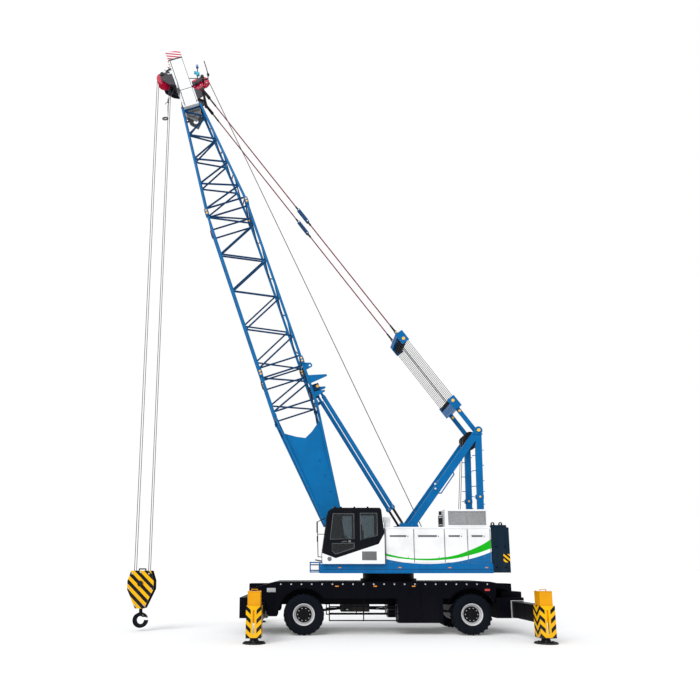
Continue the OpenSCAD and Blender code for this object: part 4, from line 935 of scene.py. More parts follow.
piece("weight_bolts", weight_fittings, chassis_black, "upper")

# Winches: steel drums wound with grey wire rope between painted cheeks.
# Each turn of rope is one ridge round the drum, laid beside the last.
finish_in(running_gear_black, "winches")
wire_rope = enamel("wire_rope", (0.10, 0.105, 0.11), rough=0.45, dust=0.05, coat=0, metallic=0.3, peel=0.4)
drum_z = 2.725
rope_turns = 33
first_turn_y = -0.40
turn_pitch = 0.025
turn_ridge = ((0.208, -0.0125), (0.233, 0), (0.208, 0.0125))
turn_steps = 28


def wound_rope(bm):
    for drum_x in (2.05, 2.95):
        for i in range(rope_turns):
            centre = at(drum_x, first_turn_y + turn_pitch * i, drum_z)
            rows = [[bm.verts.new(centre + spoke(r, k * math.tau / turn_steps, w)) for r, w in turn_ridge]
                    for k in range(turn_steps)]
            skin(bm, rows, shut=False, ring=True)
    bmesh.ops.recalc_face_normals(bm, faces=bm.faces)


piece("wound_rope", wound_rope, wire_rope, "upper", smooth=70)

# Cab: a charcoal steel shell with tinted glass held in rubber seals, and a hinged door with its own
# glass. The glass has a faint film of smears, and the seals are round cords laid about each opening, in a
# light grey that is a painted highlight along the window edges. The door's grab bar and lock are moulded
# in grey.
cab_charcoal = enamel("cab_charcoal", (0.003, 0.004, 0.007), rough=0.26, dust_top=4.0, dust=0.01, coat=0.06,
                      shine=0.08)
finish_in(cab_charcoal, "cab_shell", "cab_door")
cab_glazing = bpy.data.materials.new("cab_glazing")
cab_glazing.use_nodes = True
tree = cab_glazing.node_tree
glazing = tree.nodes["Principled BSDF"]
glazing.inputs["Transmission Weight"].default_value = 1.0
glazing.inputs["IOR"].default_value = 1.45
smears = node(tree, "TexNoise", {"Scale": 3})
tint = node(tree, "Mix", data_type="RGBA")
tint.inputs[6].default_value = (0.20, 0.25, 0.27, 1)
tint.inputs[7].default_value = (0.25, 0.30, 0.32, 1)
tree.links.new(smears.outputs["Fac"], tint.inputs[0])
tree.links.new(tint.outputs[2], glazing.inputs["Base Color"])
film = node(tree, "MapRange", {"To Min": 0.02, "To Max": 0.06})
tree.links.new(smears.outputs["Fac"], film.inputs["Value"])
tree.links.new(film.outputs[0], glazing.inputs["Roughness"])
finish_in(cab_glazing, "cab_glass", "door_glass")
# The seals' light grey is a painted highlight: it stands for the bright edges of the glass.
seal_highlight_grey = enamel("seal_highlight_grey", (0.10, 0.11, 0.12), rough=0.45, dust_top=4, dust=0.05, coat=0.05)
cab_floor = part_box("cab_shell")[0][2]
seal_y = -1.548
door_upper_pane = ((-1.92, 0.83), (-1.11, 0.85), (-1.11, 1.70), (-1.82, 1.70))
door_lower_pane = ((-1.86, 0.68), (-1.86, 0.43), (-1.74, 0.33), (-1.11, 0.53), (-1.11, 0.70))
side_pane = ((-0.89, 0.80), (-0.315, 0.96), (-0.315, 1.72), (-0.89, 1.72))


def in_cab(x, y, z):
    """A point by the cab's own numbers: x from the wheelbase's middle, z from the cab's floor."""
    return at(x, y, cab_floor + z)


def cab_pipe(bm, points, radius, sides=8):
    pipe(bm, [in_cab(*point) for point in points], radius, sides)


def cab_brick(bm, low, high, edge):
    brick(bm, in_cab(*low), in_cab(*high), edge)


def seals(bm, *panes):
    for pane in panes:
        corners = [(x, seal_y, z) for x, z in pane]
        cab_pipe(bm, corners + corners[:2], 0.013, 6)


def door_furniture(bm):
    grab_bar = ((-1.52, -1.545, 0.74), (-1.52, -1.585, 0.74), (-1.36, -1.585, 0.76), (-1.36, -1.545, 0.76))
    cab_pipe(bm, grab_bar, 0.012)
    cab_brick(bm, (-1.30, -1.565, 0.72), (-1.22, -1.545, 0.80), 0.006)


piece("door_seals", seals, seal_highlight_grey, "door_cab", smooth=50, of=(door_upper_pane, door_lower_pane))
piece("cab_window_seals", seals, seal_highlight_grey, "upper", smooth=50, of=(side_pane,))
piece("door_furniture", door_furniture, trim_grey, "door_cab", smooth=40)

# Cab outside fittings: a lamp and a slatted vent on the white skirt, roof studs, roof lamps, mirrors, wiper.
# The mirrors hang on a bent tube frame, with a hand rail below it. Tubes and housings are rubber coated.
rubber_black = enamel("rubber_black", (0.012, 0.012, 0.013), rough=0.6, dust_top=4, dust=0.05, coat=0)
mirror_silver = enamel("mirror_silver", (0.8, 0.8, 0.8), rough=0.03, metallic=1.0, dust=0, coat=0)
roof_lamps_y = (-1.3, -0.9)
vent_slats = 7
slat_pitch = 0.035


def cab_vent_and_lamp(bm):
    bar(bm, in_cab(-1.95, -1.545, 0.165), in_cab(-1.95, -1.565, 0.165), 0.075, 28, 0.068)
    cab_brick(bm, (-0.85, -1.556, 0.12), (-0.35, -1.546, 0.42), 0.005)
    for i in range(vent_slats):
        foot = 0.15 + slat_pitch * i
        cab_brick(bm, (-0.82, -1.562, foot), (-0.38, -1.552, foot + 0.015), 0.002)


def cab_studs(bm):
    for x in (-1.54, -1.08, -0.62):
        bar(bm, in_cab(x, -1.46, 1.905), in_cab(x, -1.46, 1.955), 0.035, 16, 0.028)
    for y in roof_lamps_y:
        cab_brick(bm, (-1.80, y - 0.09, 1.90), (-1.70, y + 0.09, 1.97), 0.012)


def roof_work_lamps(bm):
    for y in roof_lamps_y:
        cab_brick(bm, (-1.812, y - 0.07, 1.915), (-1.80, y + 0.07, 1.96), 0.004)


def mirror_frame(bm):
    outer_tube = ((-2.12, -1.50, 0.22), (-2.34, -1.60, 0.24), (-2.36, -1.60, 1.42), (-1.95, -1.50, 1.60))
    hand_rail = ((-2.20, -1.42, 0.10), (-2.42, -1.42, 0.14), (-2.42, -0.85, 0.14), (-2.20, -0.80, 0.10))
    cab_pipe(bm, outer_tube, 0.014)
    cab_pipe(bm, ((-2.36, -1.60, 1.0), (-2.08, -1.50, 1.0)), 0.011)
    cab_brick(bm, (-2.39, -1.72, 1.05), (-2.35, -1.55, 1.42), 0.012)
    cab_brick(bm, (-2.38, -1.70, 0.74), (-2.34, -1.56, 0.94), 0.010)
    cab_pipe(bm, hand_rail, 0.014)


def mirror_faces(bm):
    cab_brick(bm, (-2.348, -1.71, 1.07), (-2.344, -1.56, 1.40), 0.001)
    cab_brick(bm, (-2.338, -1.69, 0.755), (-2.334, -1.57, 0.925), 0.001)


def wiper(bm):
    cab_pipe(bm, ((-2.17, -1.1, 0.50), (-2.11, -1.3, 0.98), (-2.09, -1.32, 1.12)), 0.008)
    cab_pipe(bm, ((-2.13, -1.33, 0.86), (-2.03, -1.33, 1.42)), 0.008, 6)
    cab_pipe(bm, ((-2.19, -1.1, 0.48), (-2.15, -1.1, 0.50)), 0.025, 12)


piece("cab_vent_and_lamp", cab_vent_and_lamp, trim_grey, "upper", smooth=40)
piece("cab_roof_studs", cab_studs, rubber_black, "upper", smooth=40)
piece("cab_roof_lamps", roof_work_lamps, clear_lens, "upper")
piece("mirror_frame", mirror_frame, rubber_black, "upper", smooth=45)
piece("mirror_faces", mirror_faces, mirror_silver, "upper")
piece("wiper", wiper, rubber_black, "upper", smooth=45)

# Operator's seat and controls: a seat in black fabric between two moulded consoles with ball topped levers.
# A pedal box, a screen on a bent post and a head rest complete them.
seat_fabric = enamel("seat_fabric", (0.035, 0.036, 0.04), rough=0.75, dust=0.0, coat=0, peel=0.4)
finish_in(seat_fabric, "cab_seat")


def cab_controls(bm):
    for y in (-1.44, -0.78):
        cab_brick(bm, (-1.42, y - 0.07, 0.56), (-0.92, y + 0.07, 0.76), 0.02)
        cab_pipe(bm, ((-1.33, y, 0.75), (-1.37, y, 0.92)), 0.014)
        bmesh.ops.create_uvsphere(bm, u_segments=12, v_segments=8, radius=0.03,
                                  matrix=Matrix.Translation(in_cab(-1.375, y, 0.94)))
    cab_brick(bm, (-1.80, -1.25, 0.07), (-1.70, -0.95, 0.20), 0.02)
    cab_pipe(bm, ((-1.98, -0.80, 0.35), (-1.86, -0.82, 0.80)), 0.015)
    cab_brick(bm, (-1.88, -0.95, 0.78), (-1.84, -0.73, 0.98), 0.01)
    cab_brick(bm, (-0.90, -1.26, 1.16), (-0.80, -0.96, 1.36), 0.03)


piece("cab_controls", cab_controls, rubber_black, "upper", smooth=45)

# Boom: three lattice sections of welded tube in bright blue, with darker lacing and a plated foot.
# Its places are given along the boom from the foot pin, s, and square to it towards the rear, t. The paint
# tells chords from lacing by how deep a point lies inside the box of the four chords.
boom_foot = at(-1.460, 0, 3.020)
lean = math.radians(71.6)
boom_up = Vector((-math.cos(lean), 0, math.sin(lean)))
boom_back = Vector((math.sin(lean), 0, math.cos(lean)))
chord_blue = (0.0, 0.135, 0.36)
lacing_blue = (0.0, 0.040, 0.12)
section_joints = (7.0, 13.88)
plated_length = 4.7
lacing_half_t, taper_t = 0.752, 0.0838
lacing_half_y, taper_y = 0.642, 0.0819


def at_boom(s, y, t):
    return boom_foot + boom_up * s + boom_back * t + Vector((0, y, 0))


def along_boom(tree):
    return reach_along(tree, boom_up, -boom_up.dot(boom_foot))


def behind_boom(tree):
    return reach_along(tree, boom_back, -boom_back.dot(boom_foot))


def lacing_paint(tree):
    """Chords stay bright, and what lies between them is darker."""
    depth, along = behind_boom(tree), along_boom(tree)
    deep = maths(tree, "ABSOLUTE", depth)
    up_the_taper = maths(tree, "MAXIMUM", maths(tree, "SUBTRACT", along, section_joints[1]), 0)
    edge_t = maths(tree, "SUBTRACT", lacing_half_t, both(tree, up_the_taper, taper_t))
    edge_y = maths(tree, "SUBTRACT", lacing_half_y, both(tree, up_the_taper, taper_y))
    inner_t = below(tree, deep, edge_t)
    inner_y = below(tree, off_centre(tree, "Y"), edge_y)
    inside = both(tree, maths(tree, "MAXIMUM", inner_t, inner_y), above(tree, along, plated_length))
    return either_colour(tree, inside, chord_blue, lacing_blue)


boom_blue = enamel("boom_blue", chord_blue, rough=0.3, dust_top=4.0, dust=0.03, coat=0.04,
                   marked=lacing_paint)
finish_in(boom_blue, "boom_base", "boom_insert", "boom_top")

# Boom joints: two orange headed pins at each chord's end, through pairs of six-sided lugs in the boom's blue.
# The lugs are flat plates on both sides of the pins.
pin_yellow = enamel("pin_yellow", (1.0, 0.55, 0.08), rough=0.35, dust_top=4, dust=0.05)
chord_y, chord_t = 0.70, 0.81
chord_ends = [(s, y, t) for s in section_joints for y in (-chord_y, chord_y) for t in (-chord_t, chord_t)]
# Each pin's shank and its two heads: where they start and end across the chord, and their radius.
pin_parts = ((-0.092, 0.092, 0.024), (-0.104, -0.084, 0.036), (0.084, 0.104, 0.036))
lug_outline = ((-0.07, -0.14), (0.07, -0.14), (0.08, 0), (0.07, 0.14), (-0.07, 0.14), (-0.08, 0))


def plate(bm, outline, thick, place):
    """A flat plate from an outline of (x, z) points, thick along y, put where the matrix says."""
    rows = [[bm.verts.new(place @ Vector((x, y, z))) for x, z in outline] for y in (-thick / 2, thick / 2)]
    bm.faces.new(rows[0])
    bm.faces.new(rows[1][::-1])
    for i in range(len(outline)):
        j = (i + 1) % len(outline)
        bm.faces.new((rows[0][j], rows[0][i], rows[1][i], rows[1][j]))


def boom_pin(bm, s, t, y_from, y_to, radius, sides=12):
    """A round pin across the boom, between two widths."""
    bar(bm, at_boom(s, y_from, t), at_boom(s, y_to, t), radius, sides)


def joint_pins(bm):
    for s, y, t in chord_ends:
        for ds in (-0.055, 0.055):
            for start, end, radius in pin_parts:
                boom_pin(bm, s + ds, t, y + start, y + end, radius)


def joint_lugs(bm):
    turn = Matrix.Rotation(lean - math.pi / 2, 4, "Y")
    for s, y, t in chord_ends:
        for dy in (-0.075, 0.075):
            plate(bm, lug_outline, 0.018, Matrix.Translation(at_boom(s, y + dy, t)) @ turn)


piece("joint_pins", joint_pins, pin_yellow, "boom", smooth=40)
piece("joint_lugs", joint_lugs, boom_blue, "boom")

# Boom foot and brackets: zinc plated foot pins with a keeper plate each, and painted bolts in the brackets.
# Three hydraulic hoses of black rubber run up the rear face in clips.
foot_plate_y = 0.60
bracket_y = 0.696
hose_clips = (1.6, 3.0, 4.4)


def foot_pins(bm):
    for side in (-1, 1):
        y = side * foot_plate_y
        boom_pin(bm, 0, 0, y - side * 0.01, y + side * 0.03, 0.075, 24)
        keeper = at_boom(0, y + side * 0.012, 0)
        reach = Vector((0.03, 0.008, 0.14))
        brick(bm, keeper - reach, keeper + reach, 0.003)


def bracket_bolts(bm):
    for s, heights in ((6.67, (0.87, 0.93)), (6.12, (0.87, 0.98, 1.10)), (5.56, (0.86, 0.96))):
        for t in heights:
            for y in (-bracket_y, bracket_y):
                boom_pin(bm, s, t, y - 0.02, y + 0.02, 0.018, 6)
    for s in (2.0, 2.6, 3.2):
        boom_pin(bm, s, 0.24, -0.612, -0.632, 0.03, 6)


def hose_runs(bm):
    for k, y in enumerate((-0.44, -0.40, -0.36)):
        route = ((0.6, 0.18), (1.6, 0.38 + 0.02 * k), (4.6, 0.60), (5.5, 0.74), (6.9, 0.765))
        pipe(bm, [at_boom(s, y, t) for s, t in route], 0.014, 6)
    reach = Vector((0.03, 0, 0.02))
    for s in hose_clips:
        t = 0.38 + (s - hose_clips[0]) * 0.073
        brick(bm, at_boom(s, -0.46, t) - reach, at_boom(s, -0.34, t) + reach, 0.004)


piece("boom_foot_pins", foot_pins, zinc, "boom", smooth=40)
piece("boom_bracket_bolts", bracket_bolts, boom_blue, "boom")
piece("boom_hoses", hose_runs, hose_black, "boom", smooth=50)

# Boom head: a white steel box with dark seams, red bands at its tip and a painted shade line along its front
# edge for the shaded front face, on a grey inner plate.
# Dark arms carry the red cast sheaves in front and behind, with capped axles, bolted hubs and edge flanges.
# Its places are given from the head's foot on, in the boom's s, y and t.
head_foot = 19.01
main_sheave = (1.76, -0.73)
guide_sheaves = ((1.06, -0.10, 0.52), (1.27, 0.10, 0.83))
pendant_eye = (0.47, 0.65)
band_red = (0.55, 0.003, 0.05)
band_slant = 0.45
head_band_pitch = 0.13
tip_from = 2.46
arm_depth = 0.33
front_arm_top = 1.80
# Each dark line on the box: its middle and half its width, along the head or in depth.
tip_collar = (2.43, 0.035)
box_seam = (0.92, 0.014)
# The front face line is painted shade: it stands for the box's front face, which lies in shadow.
front_face_shade = (-0.235, 0.016)
rear_edge = (0.275, 0.010)
edged_length = (1.25, 1.15)


def at_head(s, y, t):
    return at_boom(head_foot + s, y, t)


def within(tree, value, line, start=0.0):
    """1 on a line, given as its middle and half its width, from a start on."""
    middle, half = line
    return below(tree, maths(tree, "ABSOLUTE", maths(tree, "SUBTRACT", value, start + middle)), half)


def head_bands(tree):
    """Red bands on the tip, dark lines on the box's seams and rear edge, a painted shade line for the shaded
    front face, dark arms, a grey foot plate.
    """
    along, depth = along_boom(tree), behind_boom(tree)
    slant = maths(tree, "ADD", along, both(tree, depth, band_slant))
    stripe = stripes(tree, slant, head_band_pitch)
    tip = above(tree, along, head_foot + tip_from)
    painted = either_colour(tree, both(tree, tip, stripe), white_paint, band_red)
    collar = within(tree, along, tip_collar, head_foot)
    seam = within(tree, along, box_seam, head_foot)
    # Of the two edge lines, the front one is painted shade for the shaded front face, and the rear one is a
    # dark edge line.
    edges = maths(tree, "MAXIMUM", within(tree, depth, front_face_shade), within(tree, depth, rear_edge))
    edge = both(tree, edges, within(tree, along, edged_length, head_foot))
    dark_lines_and_shade = maths(tree, "MAXIMUM", collar, maths(tree, "MAXIMUM", seam, edge))
    painted = either_colour(tree, dark_lines_and_shade, painted, (0.035, 0.037, 0.045))
    front_arm = both(tree, below(tree, depth, -arm_depth), below(tree, along, head_foot + front_arm_top))
    rear_arm = above(tree, depth, arm_depth)
    painted = either_colour(tree, maths(tree, "MAXIMUM", front_arm, rear_arm), painted, (0.02, 0.02, 0.03))
    return either_colour(tree, below(tree, along, head_foot - 0.01), painted, (0.13, 0.135, 0.14))


head_white = enamel("head_white", white_paint, rough=0.25, dust_top=5, dust=0.0, coat=0.08, marked=head_bands)
finish_in(head_white, "boom_head")
sheave_red = enamel("sheave_red", (0.52, 0.002, 0.045), rough=0.35, dust_top=5, dust=0.0, coat=0.2)
finish_in(sheave_red, "head_sheaves")
head_grey = enamel("head_grey", (0.10, 0.105, 0.11), rough=0.4, dust_top=5, dust=0.0, coat=0.1)
head_black = enamel("head_black", (0.015, 0.015, 0.02), rough=0.4, dust_top=5, dust=0.0, coat=0.1)
# Each axle: its s and t, half its length, and its caps' radius.
head_axles = ((*main_sheave, 0.375, 0.075), (guide_sheaves[0][0], guide_sheaves[0][2], 0.232, 0.07),
              (guide_sheaves[1][0], guide_sheaves[1][2], 0.232, 0.07), (*pendant_eye, 0.46, 0.075))
hub_bolts = 6
hub_bolt_circle = 0.15
box_side_y = 0.217
arm_side_y = 0.352


def head_pin(bm, s, t, y_from, y_to, radius, sides):
    boom_pin(bm, head_foot + s, t, y_from, y_to, radius, sides)


def axle_caps(bm):
    for s, t, half, radius in head_axles:
        for side in (-1, 1):
            head_pin(bm, s, t, side * (half - 0.028), side * half, radius, 20)
            head_pin(bm, s, t, side * half, side * (half + 0.012), radius * 0.5, 6)


def hub_bolt_heads(bm):
    for s, y, t in guide_sheaves:
        for side in (-1, 1):
            face_y = y + side * 0.033
            for k in range(hub_bolts):
                a = k * math.tau / hub_bolts
                bolt_s, bolt_t = s + hub_bolt_circle * math.cos(a), t + hub_bolt_circle * math.sin(a)
                head_pin(bm, bolt_s, bolt_t, face_y, face_y + side * 0.008, 0.018, 8)


def head_flanges(bm):
    for y in (-box_side_y, box_side_y):
        for s, front, rear in ((0.92, -0.25, 0.28), (2.43, -0.29, 0.29)):
            bar(bm, at_head(s, y, front), at_head(s, y, rear), 0.009, 6)
        for s, t in ((0.3, -0.28), (0.3, 0.28), (0.78, -0.2), (0.78, 0.24)):
            head_pin(bm, s, t, y - 0.008, y + 0.008, 0.016, 6)
    for y in (-arm_side_y, arm_side_y):
        for s, t in ((1.2, -0.50), (1.45, -0.68), (1.7, -0.60)):
            head_pin(bm, s, t, y - 0.01, y + 0.01, 0.02, 6)


piece("head_axle_caps", axle_caps, head_black, "boom", smooth=40)
piece("guide_sheave_bolts", hub_bolt_heads, plain_white, "boom", smooth=40)
piece("head_flanges", head_flanges, head_grey, "boom", smooth=40)

# Head equipment: bent black rods for the rope guards and the wind gauge's post, a small pale blue valve box
# in two parts, and a round blue lamp. All of them are bolted to the head's rear arms.
pale_blue = enamel("pale_blue", (0.05, 0.42, 0.60), rough=0.4, dust_top=5, dust=0)
blue_lens = lens("blue_lens", (0.02, 0.16, 0.5))


def head_pipe(bm, points, radius):
    pipe(bm, [at_head(*point) for point in points], radius)


def head_rods(bm):
    head_pipe(bm, ((2.11, -0.05, 1.14), (1.75, -0.05, 1.13), (1.43, -0.05, 1.11)), 0.02)
    bar(bm, at_head(1.40, -0.05, 1.11), at_head(1.47, -0.05, 1.11), 0.05, 12)
    head_pipe(bm, ((1.42, -0.05, 1.10), (1.25, -0.05, 1.05), (1.24, -0.05, 0.86)), 0.022)
    head_pipe(bm, ((1.95, 0.0, 0.78), (1.62, 0.0, 0.70), (1.40, 0.0, 0.60)), 0.02)
    head_pipe(bm, ((2.0, -0.24, -0.30), (1.95, -0.24, -0.55), (1.85, -0.24, -0.42)), 0.022)
    for t in (-0.36, -0.55, -0.75):
        head_pipe(bm, ((2.10 + t / 4, -0.25, t), (2.22 + t / 3, -0.25, t - 0.05)), 0.018)


def valve_box(bm):
    for s, t, half in ((1.62, 0.62, 0.05), (1.52, 0.70, 0.065)):
        centre = at_head(s, -0.12, t)
        reach = Vector((half, half * 0.8, half))
        brick(bm, centre - reach, centre + reach, 0.012)


def head_lamp(bm):
    bar(bm, at_head(1.95, 0.0, 0.78), at_head(2.06, 0.0, 0.80), 0.06, 20, 0.05)


piece("head_rods", head_rods, head_black, "boom", smooth=40)
piece("head_valve_box", valve_box, pale_blue, "boom", smooth=40)
piece("head_lamp", head_lamp, blue_lens, "boom", smooth=40)

# Hoist limit weight: an open grey steel ring round one hoist fall, hung from the head on a thin rope.
# The rope runs through a small switch box with its lever, and the ring has an oval section.
limit_y = -0.12
ring_x, ring_z = -8.56, 20.62
switch_x, switch_z = -8.47, 21.46
ring_radius = 0.11
ring_wide, ring_tall = 0.024, 0.03
ring_tilt = math.radians(62)
ring_steps = 28
section_steps = 8


def limit_ring(bm):
    ring = at(ring_x, limit_y, ring_z)
    box = at(switch_x, limit_y, switch_z)
    eye = at_head(1.20, limit_y, -0.39)
    pipe(bm, [eye, box, box + Vector((-0.02, 0, -0.3)), ring + Vector((ring_radius, 0, 0.10))], 0.009, 6)
    brick(bm, box - Vector((0.03, 0.03, 0.10)), box + Vector((0.03, 0.03, 0.07)), 0.008)
    bar(bm, box + Vector((0, 0, -0.02)), box + Vector((-0.13, 0, -0.17)), 0.012, 6)
    turn = Matrix.Rotation(ring_tilt, 3, "X")
    rows = []
    for k in range(ring_steps):
        a = k * math.tau / ring_steps
        row = []
        for j in range(section_steps):
            b = j * math.tau / section_steps
            out = ring_radius + ring_wide * math.cos(b)
            corner = turn @ Vector((out * math.cos(a), out * math.sin(a), ring_tall * math.sin(b)))
            row.append(bm.verts.new(ring + corner))
        rows.append(row)
    skin(bm, rows, ring=True)
    bmesh.ops.recalc_face_normals(bm, faces=bm.faces)


piece("limit_ring", limit_ring, head_grey, "boom", smooth=40)

# Gantry: flat blue box legs, welded. Step pegs and a collar stand on the rear legs, a bent hand bar hangs
# under each front leg, and two small clear lamps sit on the near one. Orange pins and two rows of dark rope
# sheaves on axles finish its head.
gantry_y = 0.69
front_pin_x, front_pin_z = 1.03, 3.75
front_leg_x, front_leg_z = 0.581, 0.814
rear_pin_x, rear_pin_z = 3.480, 3.605
rear_leg_slope = 0.0222
hand_bar = ((1.48, 0.10), (1.57, 0.225), (2.42, 0.225), (2.50, 0.10))
peg_heights = (4.3, 4.76, 5.15, 5.72, 6.28)
# Each row of sheaves: its axle's x and z, and the sheaves' radius.
gantry_sheave_rows = ((3.36, 7.04, 0.21), (3.58, 6.85, 0.14))


def on_front_leg(along, y, below_axis):
    """A point along a front leg from its foot pin, and square to it on the underside."""
    return at(front_pin_x + front_leg_x * along + front_leg_z * below_axis, y,
              front_pin_z + front_leg_z * along - front_leg_x * below_axis)


def gantry_fittings(bm):
    for side in (-1, 1):
        y = side * gantry_y
        for z in peg_heights:
            x = rear_pin_x + (z - rear_pin_z) * rear_leg_slope
            bar(bm, at(x - 0.11, y, z), at(x - 0.24, y, z), 0.014, 8)
            bar(bm, at(x + 0.11, y, z + 0.2), at(x + 0.19, y, z + 0.2), 0.014, 8)
        panel(bm, y, 0.15, (3.37, 3.64), (4.68, 4.84), 0.01)
        pipe(bm, [on_front_leg(along, y, below_axis) for along, below_axis in hand_bar], 0.022)
        cross_bar(bm, front_pin_x, front_pin_z, y + side * 0.10, y + side * 0.125, 0.07, 20)
        panel(bm, y, 0.18, (3.35, 3.70), (7.05, 7.09), 0.008)


def gantry_pins(bm):
    for side in (-1, 1):
        y = side * gantry_y
        cross_bar(bm, 3.50, 4.76, y - 0.09, y + 0.09, 0.035, 16)
        cross_bar(bm, 3.56, 7.21, y + side * 0.055, y + side * 0.11, 0.06, 20)


def gantry_sheaves(bm):
    for y in (-0.36, -0.24, -0.12, 0.12, 0.24, 0.36):
        for x, z, radius in gantry_sheave_rows:
            cross_bar(bm, x, z, y - 0.03, y + 0.03, radius, 28)
            cross_bar(bm, x, z, y - 0.036, y + 0.036, radius * 0.35, 16)
    for x, z, radius in gantry_sheave_rows:
        cross_bar(bm, x, z, -0.66, 0.66, 0.03, 12)


def gantry_lamps(bm):
    for z in (5.05, 5.22):
        cross_bar(bm, 1.90, z, -0.757, -0.80, 0.035, 16)


piece("gantry_fittings", gantry_fittings, crane_blue, "upper", smooth=40)
piece("gantry_pins", gantry_pins, pin_yellow, "upper", smooth=40)
piece("gantry_sheaves", gantry_sheaves, rubber_black, "upper", smooth=40)
piece("gantry_lamps", gantry_lamps, clear_lens, "upper", smooth=40)

# Luffing rope: two parts of steel wire rope from the front winch up between the gantry legs.
# Both run straight to the larger sheaves at the gantry's head.
def luffing_lead(bm):
    for y in (-0.12, 0.12):
        bar(bm, at(2.85, y, 2.93), at(3.15, y, 7.04), 0.012, 8)


piece("luffing_lead", luffing_lead, wire_rope, "upper", smooth=60)

# Luffing tackle: dark steel rope falls between two blue sheave blocks, with black sheaves in them.
# Orange pins join the blocks' plates, zinc plated bolts hold the lower one. Places are given along the line
# from the gantry's top to the pendants' end, and square to it.
rope_steel = enamel("rope_steel", (0.09, 0.095, 0.11), rough=0.45, dust_top=5, dust=0.0, coat=0, metallic=0.3)
finish_in(rope_steel, "hoist_falls")
luffing_rope = enamel("luffing_rope", (0.03, 0.03, 0.035), rough=0.5, dust_top=5, dust=0.0, coat=0, peel=0.3)
finish_in(luffing_rope, "luffing_falls")
gantry_top = at(3.560, 0, 7.210)
pendant_end = at_head(pendant_eye[0], 0, pendant_eye[1])
luff_along = (pendant_end - gantry_top).normalized()
luff_side = Vector((luff_along.z, 0, -luff_along.x))
lower_sheaves = (1.4212, 2.0)
upper_sheaves = (4.0, 4.6295)
block_half = 0.62
cheek_inner = 0.588


def at_luff(along, y, off=0.0):
    return gantry_top + luff_along * along + luff_side * off + Vector((0, y, 0))


def luff_pin(bm, along, y_from, y_to, radius, sides):
    """A round pin across the luffing gear, between two widths."""
    bar(bm, at_luff(along, y_from), at_luff(along, y_to), radius, sides)


def block_paint(tree):
    """Sheaves between the cheeks are black, the rest blue."""
    along = reach_along(tree, luff_along, -luff_along.dot(gantry_top))
    lower = both(tree, above(tree, along, lower_sheaves[0]), below(tree, along, lower_sheaves[1]))
    upper = both(tree, above(tree, along, upper_sheaves[0]), below(tree, along, upper_sheaves[1]))
    inside = below(tree, off_centre(tree, "Y"), cheek_inner)
    sheaves = both(tree, maths(tree, "MAXIMUM", lower, upper), inside)
    return either_colour(tree, sheaves, blue_paint, (0.008, 0.008, 0.01))


block_blue = enamel("block_blue", blue_paint, rough=0.3, dust_top=5, dust=0.0, coat=0.06, marked=block_paint)
finish_in(block_blue, "luffing_block", "upper_bail")


def sheave_pin_heads(bm, along):
    for side in (-1, 1):
        luff_pin(bm, along, side * block_half, side * (block_half + 0.02), 0.06, 20)


def block_pins(bm):
    for y in (-0.48, 0.48):
        for along in (0.0, 1.0):
            luff_pin(bm, along, y - 0.045, y + 0.045, 0.05, 16)
    sheave_pin_heads(bm, 1.45)


def bail_pins(bm):
    for y in (-0.39, 0.39):
        luff_pin(bm, 4.86, y - 0.05, y + 0.05, 0.04, 16)
    sheave_pin_heads(bm, 4.45)


def block_bolts(bm):
    for y in (-0.5, -0.3, -0.1, 0.1, 0.3, 0.5):
        for off in (-0.162, 0.162):
            for along in (1.18, 1.36):
                bar(bm, at_luff(along, y, off - 0.006), at_luff(along, y, off + 0.006), 0.016, 6)


piece("block_pins", block_pins, pin_yellow, "luff_gear", smooth=40)
piece("bail_pins", bail_pins, pin_yellow, "bail", smooth=40)
piece("block_bolts", block_bolts, zinc, "luff_gear", smooth=40)

# Pendants: maroon wire rope between pressed black sockets, joined half way by pairs of blue link plates.
# The plates are cut from sheet, and zinc plated pins go through them and the ropes' end eyes.
pendant_maroon = enamel("pendant_maroon", (0.17, 0.001, 0.035), rough=0.4, dust_top=5, dust=0.0, peel=0.3)
finish_in(pendant_maroon, "pendants")
pendant_y = 0.39
# Each socket: where it starts and ends along the pendant, and its radius.
sockets = ((4.92, 5.22, 0.038), (10.4, 10.62, 0.038), (11.18, 11.4, 0.038), (17.0, 17.5, 0.034),
           (17.45, 17.87, 0.062))
link_middle = 10.9
link_outline = ((-0.33, -0.055), (0.33, -0.055), (0.37, 0), (0.33, 0.055), (-0.33, 0.055), (-0.37, 0))
end_pin = 17.9325


def pendant_sockets(bm):
    for y in (-pendant_y, pendant_y):
        for start, end, thick in sockets:
            bar(bm, at_luff(start, y), at_luff(end, y), thick, 16, thick * 0.8)


def pendant_links(bm):
    turn = Matrix.Rotation(-math.atan2(luff_along.z, luff_along.x), 4, "Y")
    for y in (-pendant_y, pendant_y):
        for dy in (-0.045, 0.045):
            plate(bm, link_outline, 0.02, Matrix.Translation(at_luff(link_middle, y + dy)) @ turn)


def link_pins(bm):
    for y in (-pendant_y, pendant_y):
        for along in (link_middle - 0.3, link_middle + 0.3):
            luff_pin(bm, along, y - 0.075, y + 0.075, 0.028, 12)
        luff_pin(bm, end_pin, y - 0.045, y + 0.045, 0.045, 12)


piece("pendant_sockets", pendant_sockets, rubber_black, "bail", smooth=40)
piece("pendant_links", pendant_links, deep_blue, "bail")
piece("pendant_pins", link_pins, zinc, "bail", smooth=40)

# Backstops: blue steel tubes slide over black rods, one each side, with a bolted collar where they meet.
# Orange caps close the pins of their upper eyes, on the boom's lugs.
rod_black = enamel("rod_black", (0.010, 0.010, 0.012), rough=0.3, dust_top=4, dust=0.0, coat=0.2)
finish_in(crane_blue, "backstop_tubes")
finish_in(rod_black, "backstop_rods")
backstop_y = 0.47
backstop_foot = at(0.80, 0, 3.72)
backstop_length = 6.0907
backstop_up = (at_boom(5.90, 0, 1.06) - backstop_foot).normalized()
collar_face = 0.090
lug_face = 0.0823


